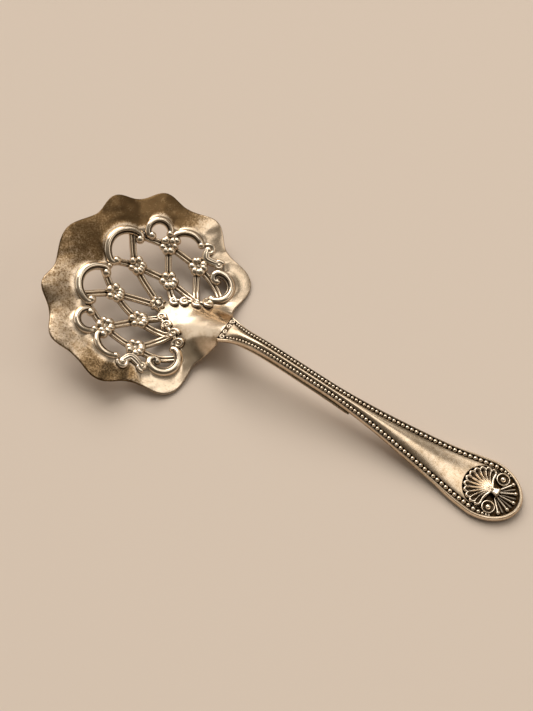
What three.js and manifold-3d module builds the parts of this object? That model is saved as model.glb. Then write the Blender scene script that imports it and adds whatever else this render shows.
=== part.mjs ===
// Bonbon spoon: a fluted bowl pierced with a trellis, on a beaded handle that ends in a shell.
// Millimetres. X runs from the far rim of the bowl to the tip of the handle, Y across, Z up from the table.
// It is silversmith's built-up work: every piece is soldered to its neighbours across a thin seam.
import * as THREE from 'three';
import { mergeVertices } from 'three/addons/utils/BufferGeometryUtils.js';
import Module from 'manifold-3d';

// Seams between soldered pieces, and the smallest detail that facets follow
const SEAM = 0.1;
const FACET = 0.035;

// Bowl, in its own frame: centre of the rim at the origin, handle along +X, rim plane level
const NECK_RADIUS = 22.6;
const NECK_ANGLE = 24;
const LOBE_RADIUS = 28.1;
const LOBE_RISE = 0.35;
const BOWL_DEPTH = 4.2;
const FLOOR_SHARE = 0.14;
const SHEET = 0.9;
const BOWL_TILT = THREE.MathUtils.degToRad(18.9);
const BOWL_X = 26.2;

// Valleys of the rim from the neck round to beyond the far lobe, as [degrees, radius, rise],
// and the lobes between them, as [radius, rise]
const VALLEYS = [
  [NECK_ANGLE, NECK_RADIUS, 0.5], [69, 25.4, -0.8], [103, 27.3, -0.4],
  [131, 27.4, -0.7], [159, 26.2, -0.5], [201, 26.2, -0.5],
];
const LOBES = [
  [LOBE_RADIUS, -LOBE_RISE], [LOBE_RADIUS + 0.4, LOBE_RISE], [LOBE_RADIUS + 1.4, 0],
  [LOBE_RADIUS + 0.7, LOBE_RISE], [LOBE_RADIUS - 0.2, LOBE_RISE],
];

// Heel, the ridge that lifts the bowl's sheet up to the neck
const DROP_TIP = 2.6;
const HEEL_RISE = 10.4;
const HEEL_POWER = 1.6;
const HEEL_WIDTH = 5.6;
const NECK_X = 49.2;

// Trellis, scrolls and knots
const BAR_WIDTH = 1.6;
const BAR_HEIGHT = 1.1;
const BAR_SINK = 0.45;
const BALL = 0.6;
const BALL_PAIR = 1.24;
const BALL_SPREAD = 1.55;
const SCROLL_RADIUS = 0.95;
const LEAF_RADIUS = 0.55;
const ROSETTE_BALL = 1.5;
const CUSP_BALL = 0.85;
const HOOK_RADIUS = 1.15;
const ROOM = 20;

// Handle
const TIP_X = 135.8;
const END_LENGTH = 10.2;
const END_X = TIP_X - END_LENGTH;
const END_WIDTH = 8;
const END_TOP = 2;
const RIDGE = 0.3;
const TANG_END = 88;
const TANG_WIDTH = 3;
const BEAD_SMALL = 0.76;
const BEAD_LARGE = 1.32;
const BEAD_TAPER = 0.17;
const BEAD_PITCH = 1.09;
const BEAD_SINK = 0.7;

// Ornament of the handle's end, in a recess inside a plain rim
const RIM_WIDTH = 1;
const RECESS = 0.5;
const SHELL_X = END_X + 2.7;
const SHELL_RADIUS = 7.5;
const SHELL_SPREAD = THREE.MathUtils.degToRad(72);
const SHELL_RIBS = 11;
const KNOB = 1.15;
const ROUNDEL_X = SHELL_X + 0.6;
const ROUNDEL_Y = END_WIDTH - 3.8;
const ROUNDEL_RADIUS = 1.6;
const RAY_COUNT = 5;
const RAY_REACH = 5.3;

const wasm = await Module();
wasm.setup();
const UP = new THREE.Vector3(0, 0, 1);

// Solids and skins

function solidOf(geometry) {
  const bare = geometry.clone();
  bare.deleteAttribute('normal');
  bare.deleteAttribute('uv');
  const merged = mergeVertices(bare, 1e-5);
  const vertProperties = new Float32Array(merged.attributes.position.array);
  const triVerts = new Uint32Array(merged.index.array);
  return new wasm.Manifold(new wasm.Mesh({ numProp: 3, vertProperties, triVerts }));
}

function geometryOf(solid) {
  const mesh = solid.getMesh();
  const geometry = new THREE.BufferGeometry();
  geometry.setAttribute('position', new THREE.BufferAttribute(new Float32Array(mesh.vertProperties), 3));
  geometry.setIndex(new THREE.BufferAttribute(new Uint32Array(mesh.triVerts), 1));
  geometry.computeVertexNormals();
  return geometry;
}

// The main body of a cut, without the slivers and splinter facets that cutting leaves
function trimmed(solid) {
  const bodies = solid.decompose();
  bodies.sort((one, other) => other.volume() - one.volume());
  return bodies[0].asOriginal().simplify(FACET);
}

function meshOf(points, index) {
  const geometry = new THREE.BufferGeometry().setFromPoints(points);
  geometry.setIndex(index);
  return geometry;
}

// Skin over a run of equal rings; the run is capped flat at both ends or closes on itself
function skin(rings, closed) {
  const count = rings[0].length;
  const index = [];
  const spans = closed ? rings.length : rings.length - 1;
  for (let row = 0; row < spans; row += 1) {
    const start = row * count;
    const after = ((row + 1) % rings.length) * count;
    for (let col = 0; col < count; col += 1) {
      const next = (col + 1) % count;
      index.push(start + col, after + next, start + next);
      index.push(start + col, after + col, after + next);
    }
  }
  const last = (rings.length - 1) * count;
  for (let col = 1; col + 1 < count && !closed; col += 1) {
    index.push(0, col, col + 1);
    index.push(last, last + col + 1, last + col);
  }
  return solidOf(meshOf(rings.flat(), index));
}

// Section swept along a path, kept square to the local up; the section is a list of [side, up]
function sweep(path, sectionAt, upAt = () => UP) {
  const rings = path.map((point, step) => {
    const before = path[Math.max(0, step - 1)];
    const after = path[Math.min(path.length - 1, step + 1)];
    const along = after.clone().sub(before).normalize();
    const side = along.clone().cross(upAt(point)).normalize();
    const rise = side.clone().cross(along);
    const place = ([s, u]) => point.clone().addScaledVector(side, s).addScaledVector(rise, u);
    return sectionAt(step / (path.length - 1)).map(place);
  });
  return skin(rings, false);
}

function roundSection(radius, sides) {
  const turn = (2 * Math.PI) / sides;
  return Array.from({ length: sides }, (_, side) => [
    radius * Math.cos(turn * side),
    radius * Math.sin(turn * side),
  ]);
}

function boxSection(half, low, high) {
  return [[half, low], [half, high], [-half, high], [-half, low]];
}

function ballAt(point, radius) {
  return solidOf(new THREE.IcosahedronGeometry(radius, 0)).translate([point.x, point.y, point.z]);
}

// Smooth value through [position, value] pairs, with slopes from the neighbouring pairs
function profile(pairs) {
  const slope = (at) => {
    const low = pairs[Math.max(0, at - 1)];
    const high = pairs[Math.min(pairs.length - 1, at + 1)];
    return (high[1] - low[1]) / (high[0] - low[0]);
  };
  return (x) => {
    const found = pairs.findIndex(([position]) => position > x);
    if (found === 0) {
      return pairs[0][1];
    }
    if (found < 0) {
      return pairs[pairs.length - 1][1];
    }
    const [x0, y0] = pairs[found - 1];
    const [x1, y1] = pairs[found];
    const span = x1 - x0;
    const t = (x - x0) / span;
    const bend0 = slope(found - 1) * span;
    const bend1 = slope(found) * span;
    const cubic = 2 * (y0 - y1) + bend0 + bend1;
    const square = 3 * (y1 - y0) - 2 * bend0 - bend1;
    return ((cubic * t + square) * t + bend0) * t + y0;
  };
}

// Circular arc from one plan point through a second to a third
function arcThrough([ax, ay], [mx, my], [bx, by], steps) {
  const a2 = ax * ax + ay * ay;
  const m2 = mx * mx + my * my;
  const b2 = bx * bx + by * by;
  const twice = 2 * (ax * (my - by) + mx * (by - ay) + bx * (ay - my));
  const cx = (a2 * (my - by) + m2 * (by - ay) + b2 * (ay - my)) / twice;
  const cy = (a2 * (bx - mx) + m2 * (ax - bx) + b2 * (mx - ax)) / twice;
  const radius = Math.hypot(ax - cx, ay - cy);
  const from = Math.atan2(ay - cy, ax - cx);
  const to = Math.atan2(by - cy, bx - cx);
  const whole = 2 * Math.PI;
  const ccw = (mx - ax) * (by - my) - (my - ay) * (bx - mx) > 0;
  const swing = ccw ? (to - from + 2 * whole) % whole : -((from - to + 2 * whole) % whole);
  return Array.from({ length: steps + 1 }, (_, step) => [
    cx + radius * Math.cos(from + (swing * step) / steps),
    cy + radius * Math.sin(from + (swing * step) / steps),
  ]);
}

// Bowl surface

// Radius and rise of the rim at an angle: waves from valley to lobe to valley
function rimAt(angle) {
  const degrees = Math.abs(THREE.MathUtils.radToDeg(angle));
  const right = VALLEYS.findIndex(([edge]) => edge > degrees);
  if (right === 0) {
    return { radius: VALLEYS[0][1], rise: VALLEYS[0][2] };
  }
  const [from, radius0, rise0] = VALLEYS[right - 1];
  const [to, radius1, rise1] = VALLEYS[right];
  const share = (degrees - from) / (to - from);
  const wave = (1 - Math.cos(2 * Math.PI * share)) / 2;
  const [crown, height] = LOBES[right - 1];
  return {
    radius: THREE.MathUtils.lerp(THREE.MathUtils.lerp(radius0, radius1, share), crown, wave),
    rise: THREE.MathUtils.lerp(THREE.MathUtils.lerp(rise0, rise1, share), height, wave),
  };
}

function heelHeight(x, y) {
  const climb = Math.max(0, (x - DROP_TIP) / (NECK_RADIUS - DROP_TIP));
  return HEEL_RISE * climb ** HEEL_POWER * Math.exp(-(Math.abs(y / HEEL_WIDTH) ** 2.6));
}

function dishHeight(x, y) {
  const angle = Math.atan2(y, x);
  const rim = rimAt(angle);
  const share = Math.min(1, Math.hypot(x, y) / rim.radius);
  const wall = THREE.MathUtils.smoothstep(share, FLOOR_SHARE, 1);
  return BOWL_DEPTH * (wall - 1) + rim.rise * share ** 5 + heelHeight(x, y);
}

function onDish([x, y], lift) {
  return new THREE.Vector3(x, y, dishHeight(x, y) + lift);
}

function dishNormal(x, y) {
  const step = 0.05;
  const slopeX = (dishHeight(x + step, y) - dishHeight(x - step, y)) / (2 * step);
  const slopeY = (dishHeight(x, y + step) - dishHeight(x, y - step)) / (2 * step);
  return new THREE.Vector3(-slopeX, -slopeY, 1).normalize();
}

// The sheet, as closed loops over its top and its underside, one loop for each angle round the rim
function sheetLoop(angle) {
  const shares = [0.05, 0.25, 0.45, 0.62, 0.76, 0.88, 1];
  const top = shares.map((share) => {
    const reach = share * rimAt(angle).radius;
    return onDish([reach * Math.cos(angle), reach * Math.sin(angle)], 0);
  });
  const inset = 0.999;
  const normals = top.map(({ x, y }) => dishNormal(x * inset, y * inset));
  const under = top.map((point, at) => point.clone().addScaledVector(normals[at], -SHEET));
  return [...top, ...under.reverse()];
}

// Plan of the pierced field, one side: scroll arcs from the far cusp round to the drop
const CUSP = [-13.2, 0];
const FAR_ARC = [[-14.3, 1.45], [-17.4, 7.2], [-12.5, 12.2]];
const SMALL_ARC = [[-10.8, 14.2], [-10.9, 18.1], [-5.9, 18]];
const SIDE_ARC = [[-4.2, 18.5], [-0.6, 21], [2.9, 20]];
const LEAF_LINE = [[4.9, 20], [6, 17.9], [8, 17.9], [10.2, 18.7]];
const ROOT_ARC = [[11.7, 16.7], [16.9, 13], [15, 9.2]];
const DROP_LINE = [[14.4, 7.5], [11.3, 5.7], [8.4, 4.4], [5.8, 3.2]];
const ROSETTE = [DROP_TIP + 0.5, 0];
const KNOTS = [[-4.1, 14.8], [-7.7, 5], [1.7, 7.2], [5.7, 14.8]];

function fieldShape() {
  const arcs = [FAR_ARC, SMALL_ARC, SIDE_ARC].flatMap((arc) => arcThrough(...arc, 8));
  const root = arcThrough(...ROOT_ARC, 8);
  const half = [...arcs, ...LEAF_LINE, ...root, ...DROP_LINE];
  const other = half.map(([x, y]) => [x, -y]).reverse();
  const outline = [CUSP, ...half, [DROP_TIP, 0], ...other];
  return new THREE.Shape(outline.map(([x, y]) => new THREE.Vector2(x, y)));
}

// Scroll with ball ends, and the upright room in plan that its neighbours leave for it
function scroll(plan, radius, balls) {
  const path = plan.map((spot) => onDish(spot, -0.1));
  const thick = (t) => radius * (0.8 + 0.2 * Math.sin(Math.PI * t));
  const wire = sweep(path, (t) => roundSection(thick(t), 6));
  return balls.reduce((whole, [spot, size]) => whole.add(ballAt(onDish(spot, 0.05), size)), wire);
}

function scrollRoom(plan, radius, balls) {
  const path = plan.map(([x, y]) => new THREE.Vector3(x, y, 0));
  const wire = sweep(path, () => boxSection(radius + SEAM, -ROOM, ROOM));
  return balls.reduce((whole, [spot, size]) => whole.add(ballRoom(spot, size)), wire);
}

function ballRoom([x, y], radius) {
  const room = new THREE.CylinderGeometry(radius + SEAM, radius + SEAM, 2 * ROOM, 8).rotateX(Math.PI / 2);
  return solidOf(room).translate([x, y, 0]);
}

// Spline in plan through its points, with the given number of steps
function planSpline(spots, steps) {
  const curve = new THREE.SplineCurve(spots.map(([x, y]) => new THREE.Vector2(x, y)));
  return curve.getPoints(steps).map(({ x, y }) => [x, y]);
}

// Arc that goes on into a tighter hook at each end, turned by the given angles
function hooked(arc, startTurn, endTurn) {
  const cross = ([ax, ay], [bx, by], [cx, cy]) => (bx - ax) * (cy - by) - (by - ay) * (cx - bx);
  const curl = (line, turn) => {
    const [last, before] = [line[line.length - 1], line[line.length - 2]];
    const sense = Math.sign(cross(line[line.length - 3], before, last));
    const heading = Math.atan2(last[1] - before[1], last[0] - before[0]);
    const steps = Math.ceil(turn / 50);
    const centre = [last[0] - HOOK_RADIUS * sense * Math.sin(heading),
      last[1] + HOOK_RADIUS * sense * Math.cos(heading)];
    const bends = Array.from({ length: steps }, (_, step) => {
      const bent = heading + sense * THREE.MathUtils.degToRad((turn * (step + 1)) / steps);
      return [centre[0] + HOOK_RADIUS * sense * Math.sin(bent),
        centre[1] - HOOK_RADIUS * sense * Math.cos(bent)];
    });
    return [...line, ...bends];
  };
  const ended = curl(arc, endTurn);
  return curl(ended.reverse(), startTurn).reverse();
}

// Border scrolls of one side: plan line, wire radius, and balls as [spot, radius]
const FAR_LINE = hooked(arcThrough(...FAR_ARC, 7), 120, 60);
const SMALL_LINE = hooked(arcThrough(...SMALL_ARC, 6), 120, 0);
const SIDE_LINE = hooked(arcThrough(...SIDE_ARC, 5), 120, 0);
const ROOT_LINE = hooked(arcThrough(...ROOT_ARC, 6), 150, 60);
const SCROLLS = {
  scroll_drop: [planSpline(DROP_LINE, 5), LEAF_RADIUS, [
    [DROP_LINE[0], 1.2], [DROP_LINE[1], 0.95], [DROP_LINE[2], 0.85], [DROP_LINE[3], 0.8],
  ]],
  scroll_root: [ROOT_LINE, SCROLL_RADIUS, [[ROOT_LINE[0], 0.85]]],
  scroll_far: [FAR_LINE, SCROLL_RADIUS, [[FAR_LINE[0], 0.9], [[-11.2, 11.3], 0.9]]],
  scroll_small: [SMALL_LINE, SCROLL_RADIUS * 0.9, [[SMALL_LINE[0], 0.85]]],
  scroll_side: [SIDE_LINE, SCROLL_RADIUS * 0.9, [[SIDE_LINE[0], 0.85], [SIDE_ARC[2], 0.9]]],
  scroll_leaf: [planSpline(LEAF_LINE, 6), LEAF_RADIUS, [[LEAF_LINE[0], 1], [LEAF_LINE[3], 0.85]]],
};

// Trellis bars of one side: two families that halve into each other where they cross
const ALONG = {
  bar_inner_long: [[-14, 1.6], KNOTS[1], KNOTS[2], [8.9, 6.7], [11.1, 5.8]],
  bar_outer_long: [[-12.3, 12.1], KNOTS[0], KNOTS[3], [12, 13.3], [16.1, 10.4]],
};
const ACROSS = {
  bar_far_cross: [[-13.6, 10.9], KNOTS[1], [1.5, 0.9]],
  bar_mid_cross: [[-5.7, 18], KNOTS[0], KNOTS[2], [5.6, 3.4]],
  bar_side_cross: [[5.7, 18.1], KNOTS[3], [10.2, 7.6], [11.3, 5.7]],
};

function bar(spots, section) {
  const path = planSpline(spots, 2 * (spots.length - 1)).map((spot) => onDish(spot, -BAR_SINK));
  return sweep(path, () => section, ({ x, y }) => dishNormal(x, y));
}

// Bar of two reeds side by side, with a flat foot
function barSection(grown) {
  const half = BAR_WIDTH / 2 + grown;
  const high = BAR_HEIGHT / 2 + grown;
  const right = [[half, -high], [half, 0.2 * high], [0.5 * half, high]];
  const left = right.map(([side, up]) => [-side, up]).reverse();
  return [...right, [0, 0.62 * high], ...left];
}

// Knot of balls round a crossing, a pair on each arm, over a core that ties them together.
// It sits flat on the backs of the bars, square to the dish.
function knot(centre, neighbours) {
  const foot = BAR_HEIGHT / 2 - BAR_SINK + 2.5 * SEAM;
  const low = BALL * 0.3;
  const arm = ([x, y]) => new THREE.Vector3(x - centre[0], y - centre[1], 0).setLength(BALL_SPREAD);
  const pairs = neighbours.map(arm).flatMap((spot) => {
    const aside = spot.clone().cross(UP).setLength(BALL_PAIR / 2);
    return [spot.clone().add(aside), spot.clone().sub(aside)];
  });
  const disc = new THREE.CylinderGeometry(BALL_SPREAD, BALL_SPREAD, 2 * BALL, 6).rotateX(Math.PI / 2);
  const core = solidOf(disc).translate([0, 0, -0.45 * BALL]);
  const whole = pairs.reduce((sum, spot) => sum.add(ballAt(spot.setZ(low), BALL)), core);
  const above = new THREE.BoxGeometry(8 * BALL_SPREAD, 8 * BALL_SPREAD, 2 * BALL_SPREAD);
  const normal = dishNormal(...centre);
  const lean = new THREE.Quaternion().setFromUnitVectors(UP, normal);
  const cut = whole.intersect(solidOf(above.translate(0, 0, BALL_SPREAD)));
  const geometry = geometryOf(cut.simplify(FACET)).applyQuaternion(lean);
  const seat = onDish(centre, 0).addScaledVector(normal, foot);
  return solidOf(geometry).translate([seat.x, seat.y, seat.z]);
}

const KNOT_ARMS = [
  [[-12.3, 12.1], KNOTS[3], [-5.7, 18], KNOTS[2]],
  [[-14, 1.6], KNOTS[2], [-13.6, 10.9], [1.5, 0.9]],
  [KNOTS[1], [8.9, 6.7], KNOTS[0], [5.8, 3.2]],
  [KNOTS[0], [12, 13.3], [5.7, 18.1], [10.2, 7.6]],
];

// Bowl placement: tilted so that it stands on its two near lobes
function rimLow() {
  const turns = Array.from({ length: 180 }, (_, step) => (Math.PI * step) / 180);
  const spots = turns.flatMap((angle) => sheetLoop(angle).slice(5, 9));
  return Math.min(...spots.map(({ x, z }) => z * Math.cos(BOWL_TILT) - x * Math.sin(BOWL_TILT)));
}

const bowlGroup = new THREE.Group();
bowlGroup.rotation.y = BOWL_TILT;
bowlGroup.position.set(BOWL_X, 0, -rimLow());
bowlGroup.updateMatrix();
const bowlToSpoon = bowlGroup.matrix;
const spoonToBowl = bowlToSpoon.clone().invert();

// Point of the bowl's centre line in spoon coordinates, let down into the sheet by some depth
function heelPoint(reach, depth) {
  const point = onDish([reach, 0], 0).addScaledVector(dishNormal(reach, 0), -depth);
  return point.applyMatrix4(bowlToSpoon);
}

function neckTop() {
  let low = 0;
  let high = 1.2 * NECK_RADIUS;
  for (let turn = 0; turn < 40; turn += 1) {
    const middle = (low + high) / 2;
    if (heelPoint(middle, 0).x > NECK_X) {
      high = middle;
    } else {
      low = middle;
    }
  }
  return { reach: low, z: heelPoint(low, 0).z };
}

// Handle profiles, by share of the way from the neck to the widest place
const neck = neckTop();
const along = (share) => NECK_X + share * (END_X - NECK_X);
const handleProfile = (pairs) => profile(pairs.map(([share, value]) => [along(share), value]));
const crest = handleProfile([
  [0, neck.z], [0.065, neck.z + 1.2], [0.155, neck.z + 1.75], [0.34, 9.9], [0.55, 7.1],
  [0.73, 4.35], [0.82, 3.05], [0.89, END_TOP + 0.3], [0.94, END_TOP], [0.98, END_TOP],
]);
const thickAt = handleProfile([
  [0, 1.8], [0.14, 1.95], [0.6, 1.95], [0.8, 2.1], [0.9, END_TOP + 0.1], [0.98, END_TOP + 0.1],
]);
const topAt = (x) => Math.max(END_TOP, crest(x));
const backAt = (x) => Math.max(0, topAt(x) - thickAt(x));
const stemWidth = handleProfile([
  [0, 4], [0.05, 2.85], [0.1, 2.2], [0.18, 1.95], [0.34, 1.9], [0.455, 2],
  [0.585, 2.8], [0.715, 4.1], [0.85, 5.75], [0.925, 7.1], [1, END_WIDTH], [1.05, END_WIDTH],
]);
const beadLine = handleProfile([
  [0, 3.2], [0.05, 1.95], [0.1, 1.3], [0.18, 1.06], [0.34, 1.02], [0.455, 1.1],
  [0.585, 1.75], [0.715, 3], [0.85, 4.55], [0.925, 5.6],
  [1, END_WIDTH - 1.55], [1.05, END_WIDTH - 1.55],
]);
const ridgeAt = handleProfile([[0, 0], [0.115, RIDGE], [0.53, RIDGE], [0.77, RIDGE / 2], [0.9, 0], [1, 0]]);

function halfWidth(x) {
  const past = Math.max(0, x - END_X) / END_LENGTH;
  return past > 0 ? END_WIDTH * Math.sqrt(Math.max(0, 1 - past * past)) : stemWidth(x);
}

function handleTop(x, y) {
  const share = Math.min(1, Math.abs(y) / halfWidth(x));
  return topAt(x) + ridgeAt(x) * (1 - share * share);
}

// Cross-section of the handle at one place: crowned top, rounded edge, flat back
function handleRing(x) {
  const half = halfWidth(x);
  const top = topAt(x);
  const low = backAt(x);
  const edge = Math.min(0.4, half * 0.3);
  const right = [
    [0.3 * half, handleTop(x, 0.3 * half)],
    [0.62 * half, handleTop(x, 0.62 * half)],
    [half - edge, handleTop(x, half - edge)],
    [half - 0.2 * edge, top - 0.25 * (top - low)],
    [half, top - 0.6 * (top - low)],
    [0.8 * half, low],
  ];
  const left = right.map(([y, z]) => [-y, z]).reverse();
  const loop = [[0, handleTop(x, 0)], ...right, [0, low], ...left];
  return loop.map(([y, z]) => new THREE.Vector3(x, y, z));
}

function handleStations() {
  const start = NECK_X + SEAM;
  const stem = Array.from({ length: 19 }, (_, step) => start + ((END_X - start) * step) / 18);
  const end = Array.from({ length: 7 }, (_, step) => {
    const turn = ((step + 1) / 7) * 0.475 * Math.PI;
    return END_X + END_LENGTH * Math.sin(turn);
  });
  return [...stem, ...end];
}

// Bead borders: a strip with graduated beads lies in a channel that closes across the neck
function beadPath() {
  const front = NECK_X + 1.15;
  const stops = [0.06, 0.1, ...Array.from({ length: 14 }, (_, step) => 0.18 + (0.82 * step) / 13)];
  const line = stops.map((share) => [along(share), beadLine(along(share))]);
  const turn = [[front, 0.62], [front - 0.1, 1.9], [front + 0.35, 2.85], [front + 1.3, 2.5]];
  const outer = END_WIDTH - 1.55;
  const end = [[END_X + 1.8, outer], [END_X + 3.4, outer - 0.12], [END_X + 4.6, outer - 0.45]];
  return planSpline([...turn, ...line, ...end], 130);
}

function beadSize(x) {
  const past = Math.max(0, x - END_X);
  return THREE.MathUtils.mapLinear(x - past, NECK_X, END_X, BEAD_SMALL, BEAD_LARGE) - BEAD_TAPER * past;
}

function thinned(path, every) {
  return path.filter((_, step) => step % every === 0 || step === path.length - 1);
}

// Each bead takes three steps of the strip: a neck and two shoulders
function beadBorder() {
  const plan = beadPath();
  const curve = new THREE.SplineCurve(plan.map(([x, y]) => new THREE.Vector2(x, y)));
  const length = curve.getLength();
  const path = [];
  const sections = [];
  const step = (along, width, high) => {
    const { x, y } = curve.getPointAt(along / length);
    const size = beadSize(x);
    path.push(new THREE.Vector3(x, y, handleTop(x, y) - BEAD_SINK * size));
    const half = 0.5 * size * width;
    sections.push([[half, 0], [0.62 * half, high * size], [-0.62 * half, high * size], [-half, 0]]);
    return size * BEAD_PITCH;
  };
  let along = 0;
  while (along < length - BEAD_SMALL) {
    const pitch = step(along, 0.62, 0.45);
    step(along + 0.3 * pitch, 1, 0.94);
    step(along + 0.7 * pitch, 1, 0.94);
    along += pitch;
  }
  step(along, 0.62, 0.45);
  return sweep(path, (t) => sections[Math.round(t * (path.length - 1))]);
}

function beadChannel() {
  const path = thinned(beadPath(), 5);
  const first = path[0];
  const last = path[path.length - 1];
  const before = path[path.length - 2];
  const end = [last[0] + 0.3 * (last[0] - before[0]), last[1] + 0.3 * (last[1] - before[1])];
  const run = [[first[0], first[1] - 0.2], ...path, end];
  const line = run.map(([x, y]) => new THREE.Vector3(x, y, handleTop(x, y) - BEAD_SINK * beadSize(x)));
  const half = (t) => 0.5 * beadSize(run[Math.round(t * (run.length - 1))][0]) + SEAM;
  return sweep(line, (t) => boxSection(half(t), -SEAM, 3));
}

// Scallop shell: ribs fan from the hinge towards the bowl
function shellSolid() {
  const floor = END_TOP + SEAM;
  const fans = SHELL_RIBS * 2;
  const rings = 4;
  const spot = (fan, ring) => {
    const turn = SHELL_SPREAD * ((2 * fan) / fans - 1);
    const rib = Math.cos((2 * Math.PI * SHELL_RIBS * fan) / fans + Math.PI);
    const share = 0.04 + (0.96 * ring) / rings;
    const reach = (SHELL_RADIUS - 2.2 * (turn / SHELL_SPREAD) ** 2) * (1 + 0.03 * rib) * share;
    const rise = 0.55 + 0.85 * (1 - share) + 0.2 * rib * share;
    return { x: SHELL_X - reach * Math.cos(turn), y: reach * Math.sin(turn), rise };
  };
  const loops = Array.from({ length: fans + 1 }, (_, fan) => {
    const spots = Array.from({ length: rings + 1 }, (__, ring) => spot(fan, ring));
    const top = spots.map(({ x, y, rise }) => new THREE.Vector3(x, y, floor + rise));
    const under = [spots[rings], spots[0]].map(({ x, y }) => new THREE.Vector3(x, y, floor));
    return [...top, ...under];
  });
  const knob = solidOf(new THREE.SphereGeometry(KNOB, 9, 7).rotateX(1).scale(1, 1, 1.2));
  const above = solidOf(new THREE.BoxGeometry(8 * KNOB, 8 * KNOB, 4 * KNOB)).translate([0, 0, 2 * KNOB]);
  return skin(loops, false).add(knob.intersect(above).translate([SHELL_X, 0, floor]));
}

// Roundel: a ring round a central boss, turned
function roundelSolid() {
  const r = ROUNDEL_RADIUS;
  const ring = [[r, 0], [r, 0.45], [0.85 * r, 0.75], [0.66 * r, 0.45]];
  const turned = [[0, 0], ...ring, [0.5 * r, 0.3], [0.36 * r, 0.75], [0, 0.95]];
  const lathe = new THREE.LatheGeometry(turned.map(([x, y]) => new THREE.Vector2(x, y)), 12);
  lathe.rotateX(Math.PI / 2);
  return solidOf(lathe).translate([ROUNDEL_X, ROUNDEL_Y, END_TOP - RECESS + SEAM]);
}

// Spray of ball-tipped rays beyond the shell's hinge, joined at a hub
function raySpray() {
  const floor = END_TOP - RECESS + SEAM;
  const hub = new THREE.Vector3(SHELL_X + 1.7, 0, floor);
  const rays = Array.from({ length: RAY_COUNT }, (_, ray) => {
    const turn = THREE.MathUtils.degToRad(26) * (ray - (RAY_COUNT - 1) / 2);
    const tip = [SHELL_X + RAY_REACH * Math.cos(turn), RAY_REACH * Math.sin(turn)];
    const end = new THREE.Vector3(tip[0], tip[1], floor);
    const line = [hub.clone(), end.clone()];
    const stem = sweep(line, (t) => boxSection(0.22 + 0.12 * t, 0, 0.5));
    return stem.add(ballAt(end.clone().setZ(floor + 0.3), 0.5));
  });
  const above = new THREE.BoxGeometry(4 * RAY_REACH, 4 * RAY_REACH, 4).translate(SHELL_X, 0, floor + 2);
  return rays.reduce((sum, ray) => sum.add(ray)).intersect(solidOf(above));
}

// Recess of the handle's end: from behind the shell out to the rim, with a seat for each roundel
function endRecess() {
  const side = SHELL_SPREAD;
  const behind = SHELL_X + 4 * SEAM;
  const wide = END_WIDTH - RIM_WIDTH;
  const arc = Array.from({ length: 17 }, (_, step) => {
    const turn = (Math.PI * (step - 8)) / 16;
    const x = END_X + (END_LENGTH - RIM_WIDTH) * Math.cos(turn);
    return [x, wide * Math.sin(turn)];
  });
  const outside = arc.filter(([x, y]) => x > behind - Math.abs(y) / Math.tan(side));
  const outline = [[behind, 0], ...outside].map(([x, y]) => new THREE.Vector2(x, y));
  const pocket = new THREE.ExtrudeGeometry(new THREE.Shape(outline), { depth: ROOM, bevelEnabled: false });
  const seat = new THREE.CylinderGeometry(ROUNDEL_RADIUS + SEAM, ROUNDEL_RADIUS + SEAM, ROOM, 16);
  seat.rotateX(Math.PI / 2).translate(ROUNDEL_X, ROUNDEL_Y, ROOM / 2);
  const left = solidOf(seat);
  return solidOf(pocket).add(left).add(left.mirror([0, 1, 0])).translate([0, 0, END_TOP - RECESS]);
}

// Tang: runs on from the bowl's sheet, under the stem, and ends in a step
function tangSolid() {
  const root = [0.72, 0.8, 0.88, 0.95].map((share) => heelPoint(share * neck.reach, 0.4 * SHEET));
  const runs = handleStations().filter((x) => x < TANG_END);
  const under = runs.map((x) => new THREE.Vector3(x, 0, backAt(x) - 1.5 * SEAM));
  const half = (t) => (TANG_WIDTH / 2) * (1 - 0.2 * t);
  return sweep([...root, ...under], (t) => {
    const deep = 0.5 + 0.9 * Math.min(1, 5 * t) - 0.5 * t;
    return [[half(t), 0], [-half(t), 0], [-0.7 * half(t), -deep], [0.7 * half(t), -deep]];
  });
}

// Assembly

const silver = { color: 0xb9a98a, roughness: 0.32, metalness: 1 };
const bright = { color: 0xd8c7a6, roughness: 0.24, metalness: 1 };

function named(name, solid, finish) {
  const mesh = new THREE.Mesh(geometryOf(solid), new THREE.MeshStandardMaterial(finish));
  mesh.name = name;
  return mesh;
}

const sides = [['left', 1], ['right', -1]];
const mirrored = (solid, sign) => (sign > 0 ? solid : solid.mirror([0, 1, 0]));

// Border scrolls, each cut back to the room of those before it
bowlGroup.add(named('drop_rosette', ballAt(onDish(ROSETTE, 0.1), ROSETTE_BALL), bright));
bowlGroup.add(named('cusp_bead', ballAt(onDish(CUSP, 0), CUSP_BALL), bright));
const rooms = [ballRoom(ROSETTE, ROSETTE_BALL), ballRoom(CUSP, CUSP_BALL)];
for (const [name, shape] of Object.entries(SCROLLS)) {
  for (const [side, sign] of sides) {
    const cut = rooms.reduce((left, room) => left.subtract(room), mirrored(scroll(...shape), sign));
    bowlGroup.add(named(`${name}_${side}`, trimmed(cut), bright));
    rooms.push(mirrored(scrollRoom(...shape), sign));
  }
}
const room = rooms.reduce((sum, one) => sum.add(one));

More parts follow.
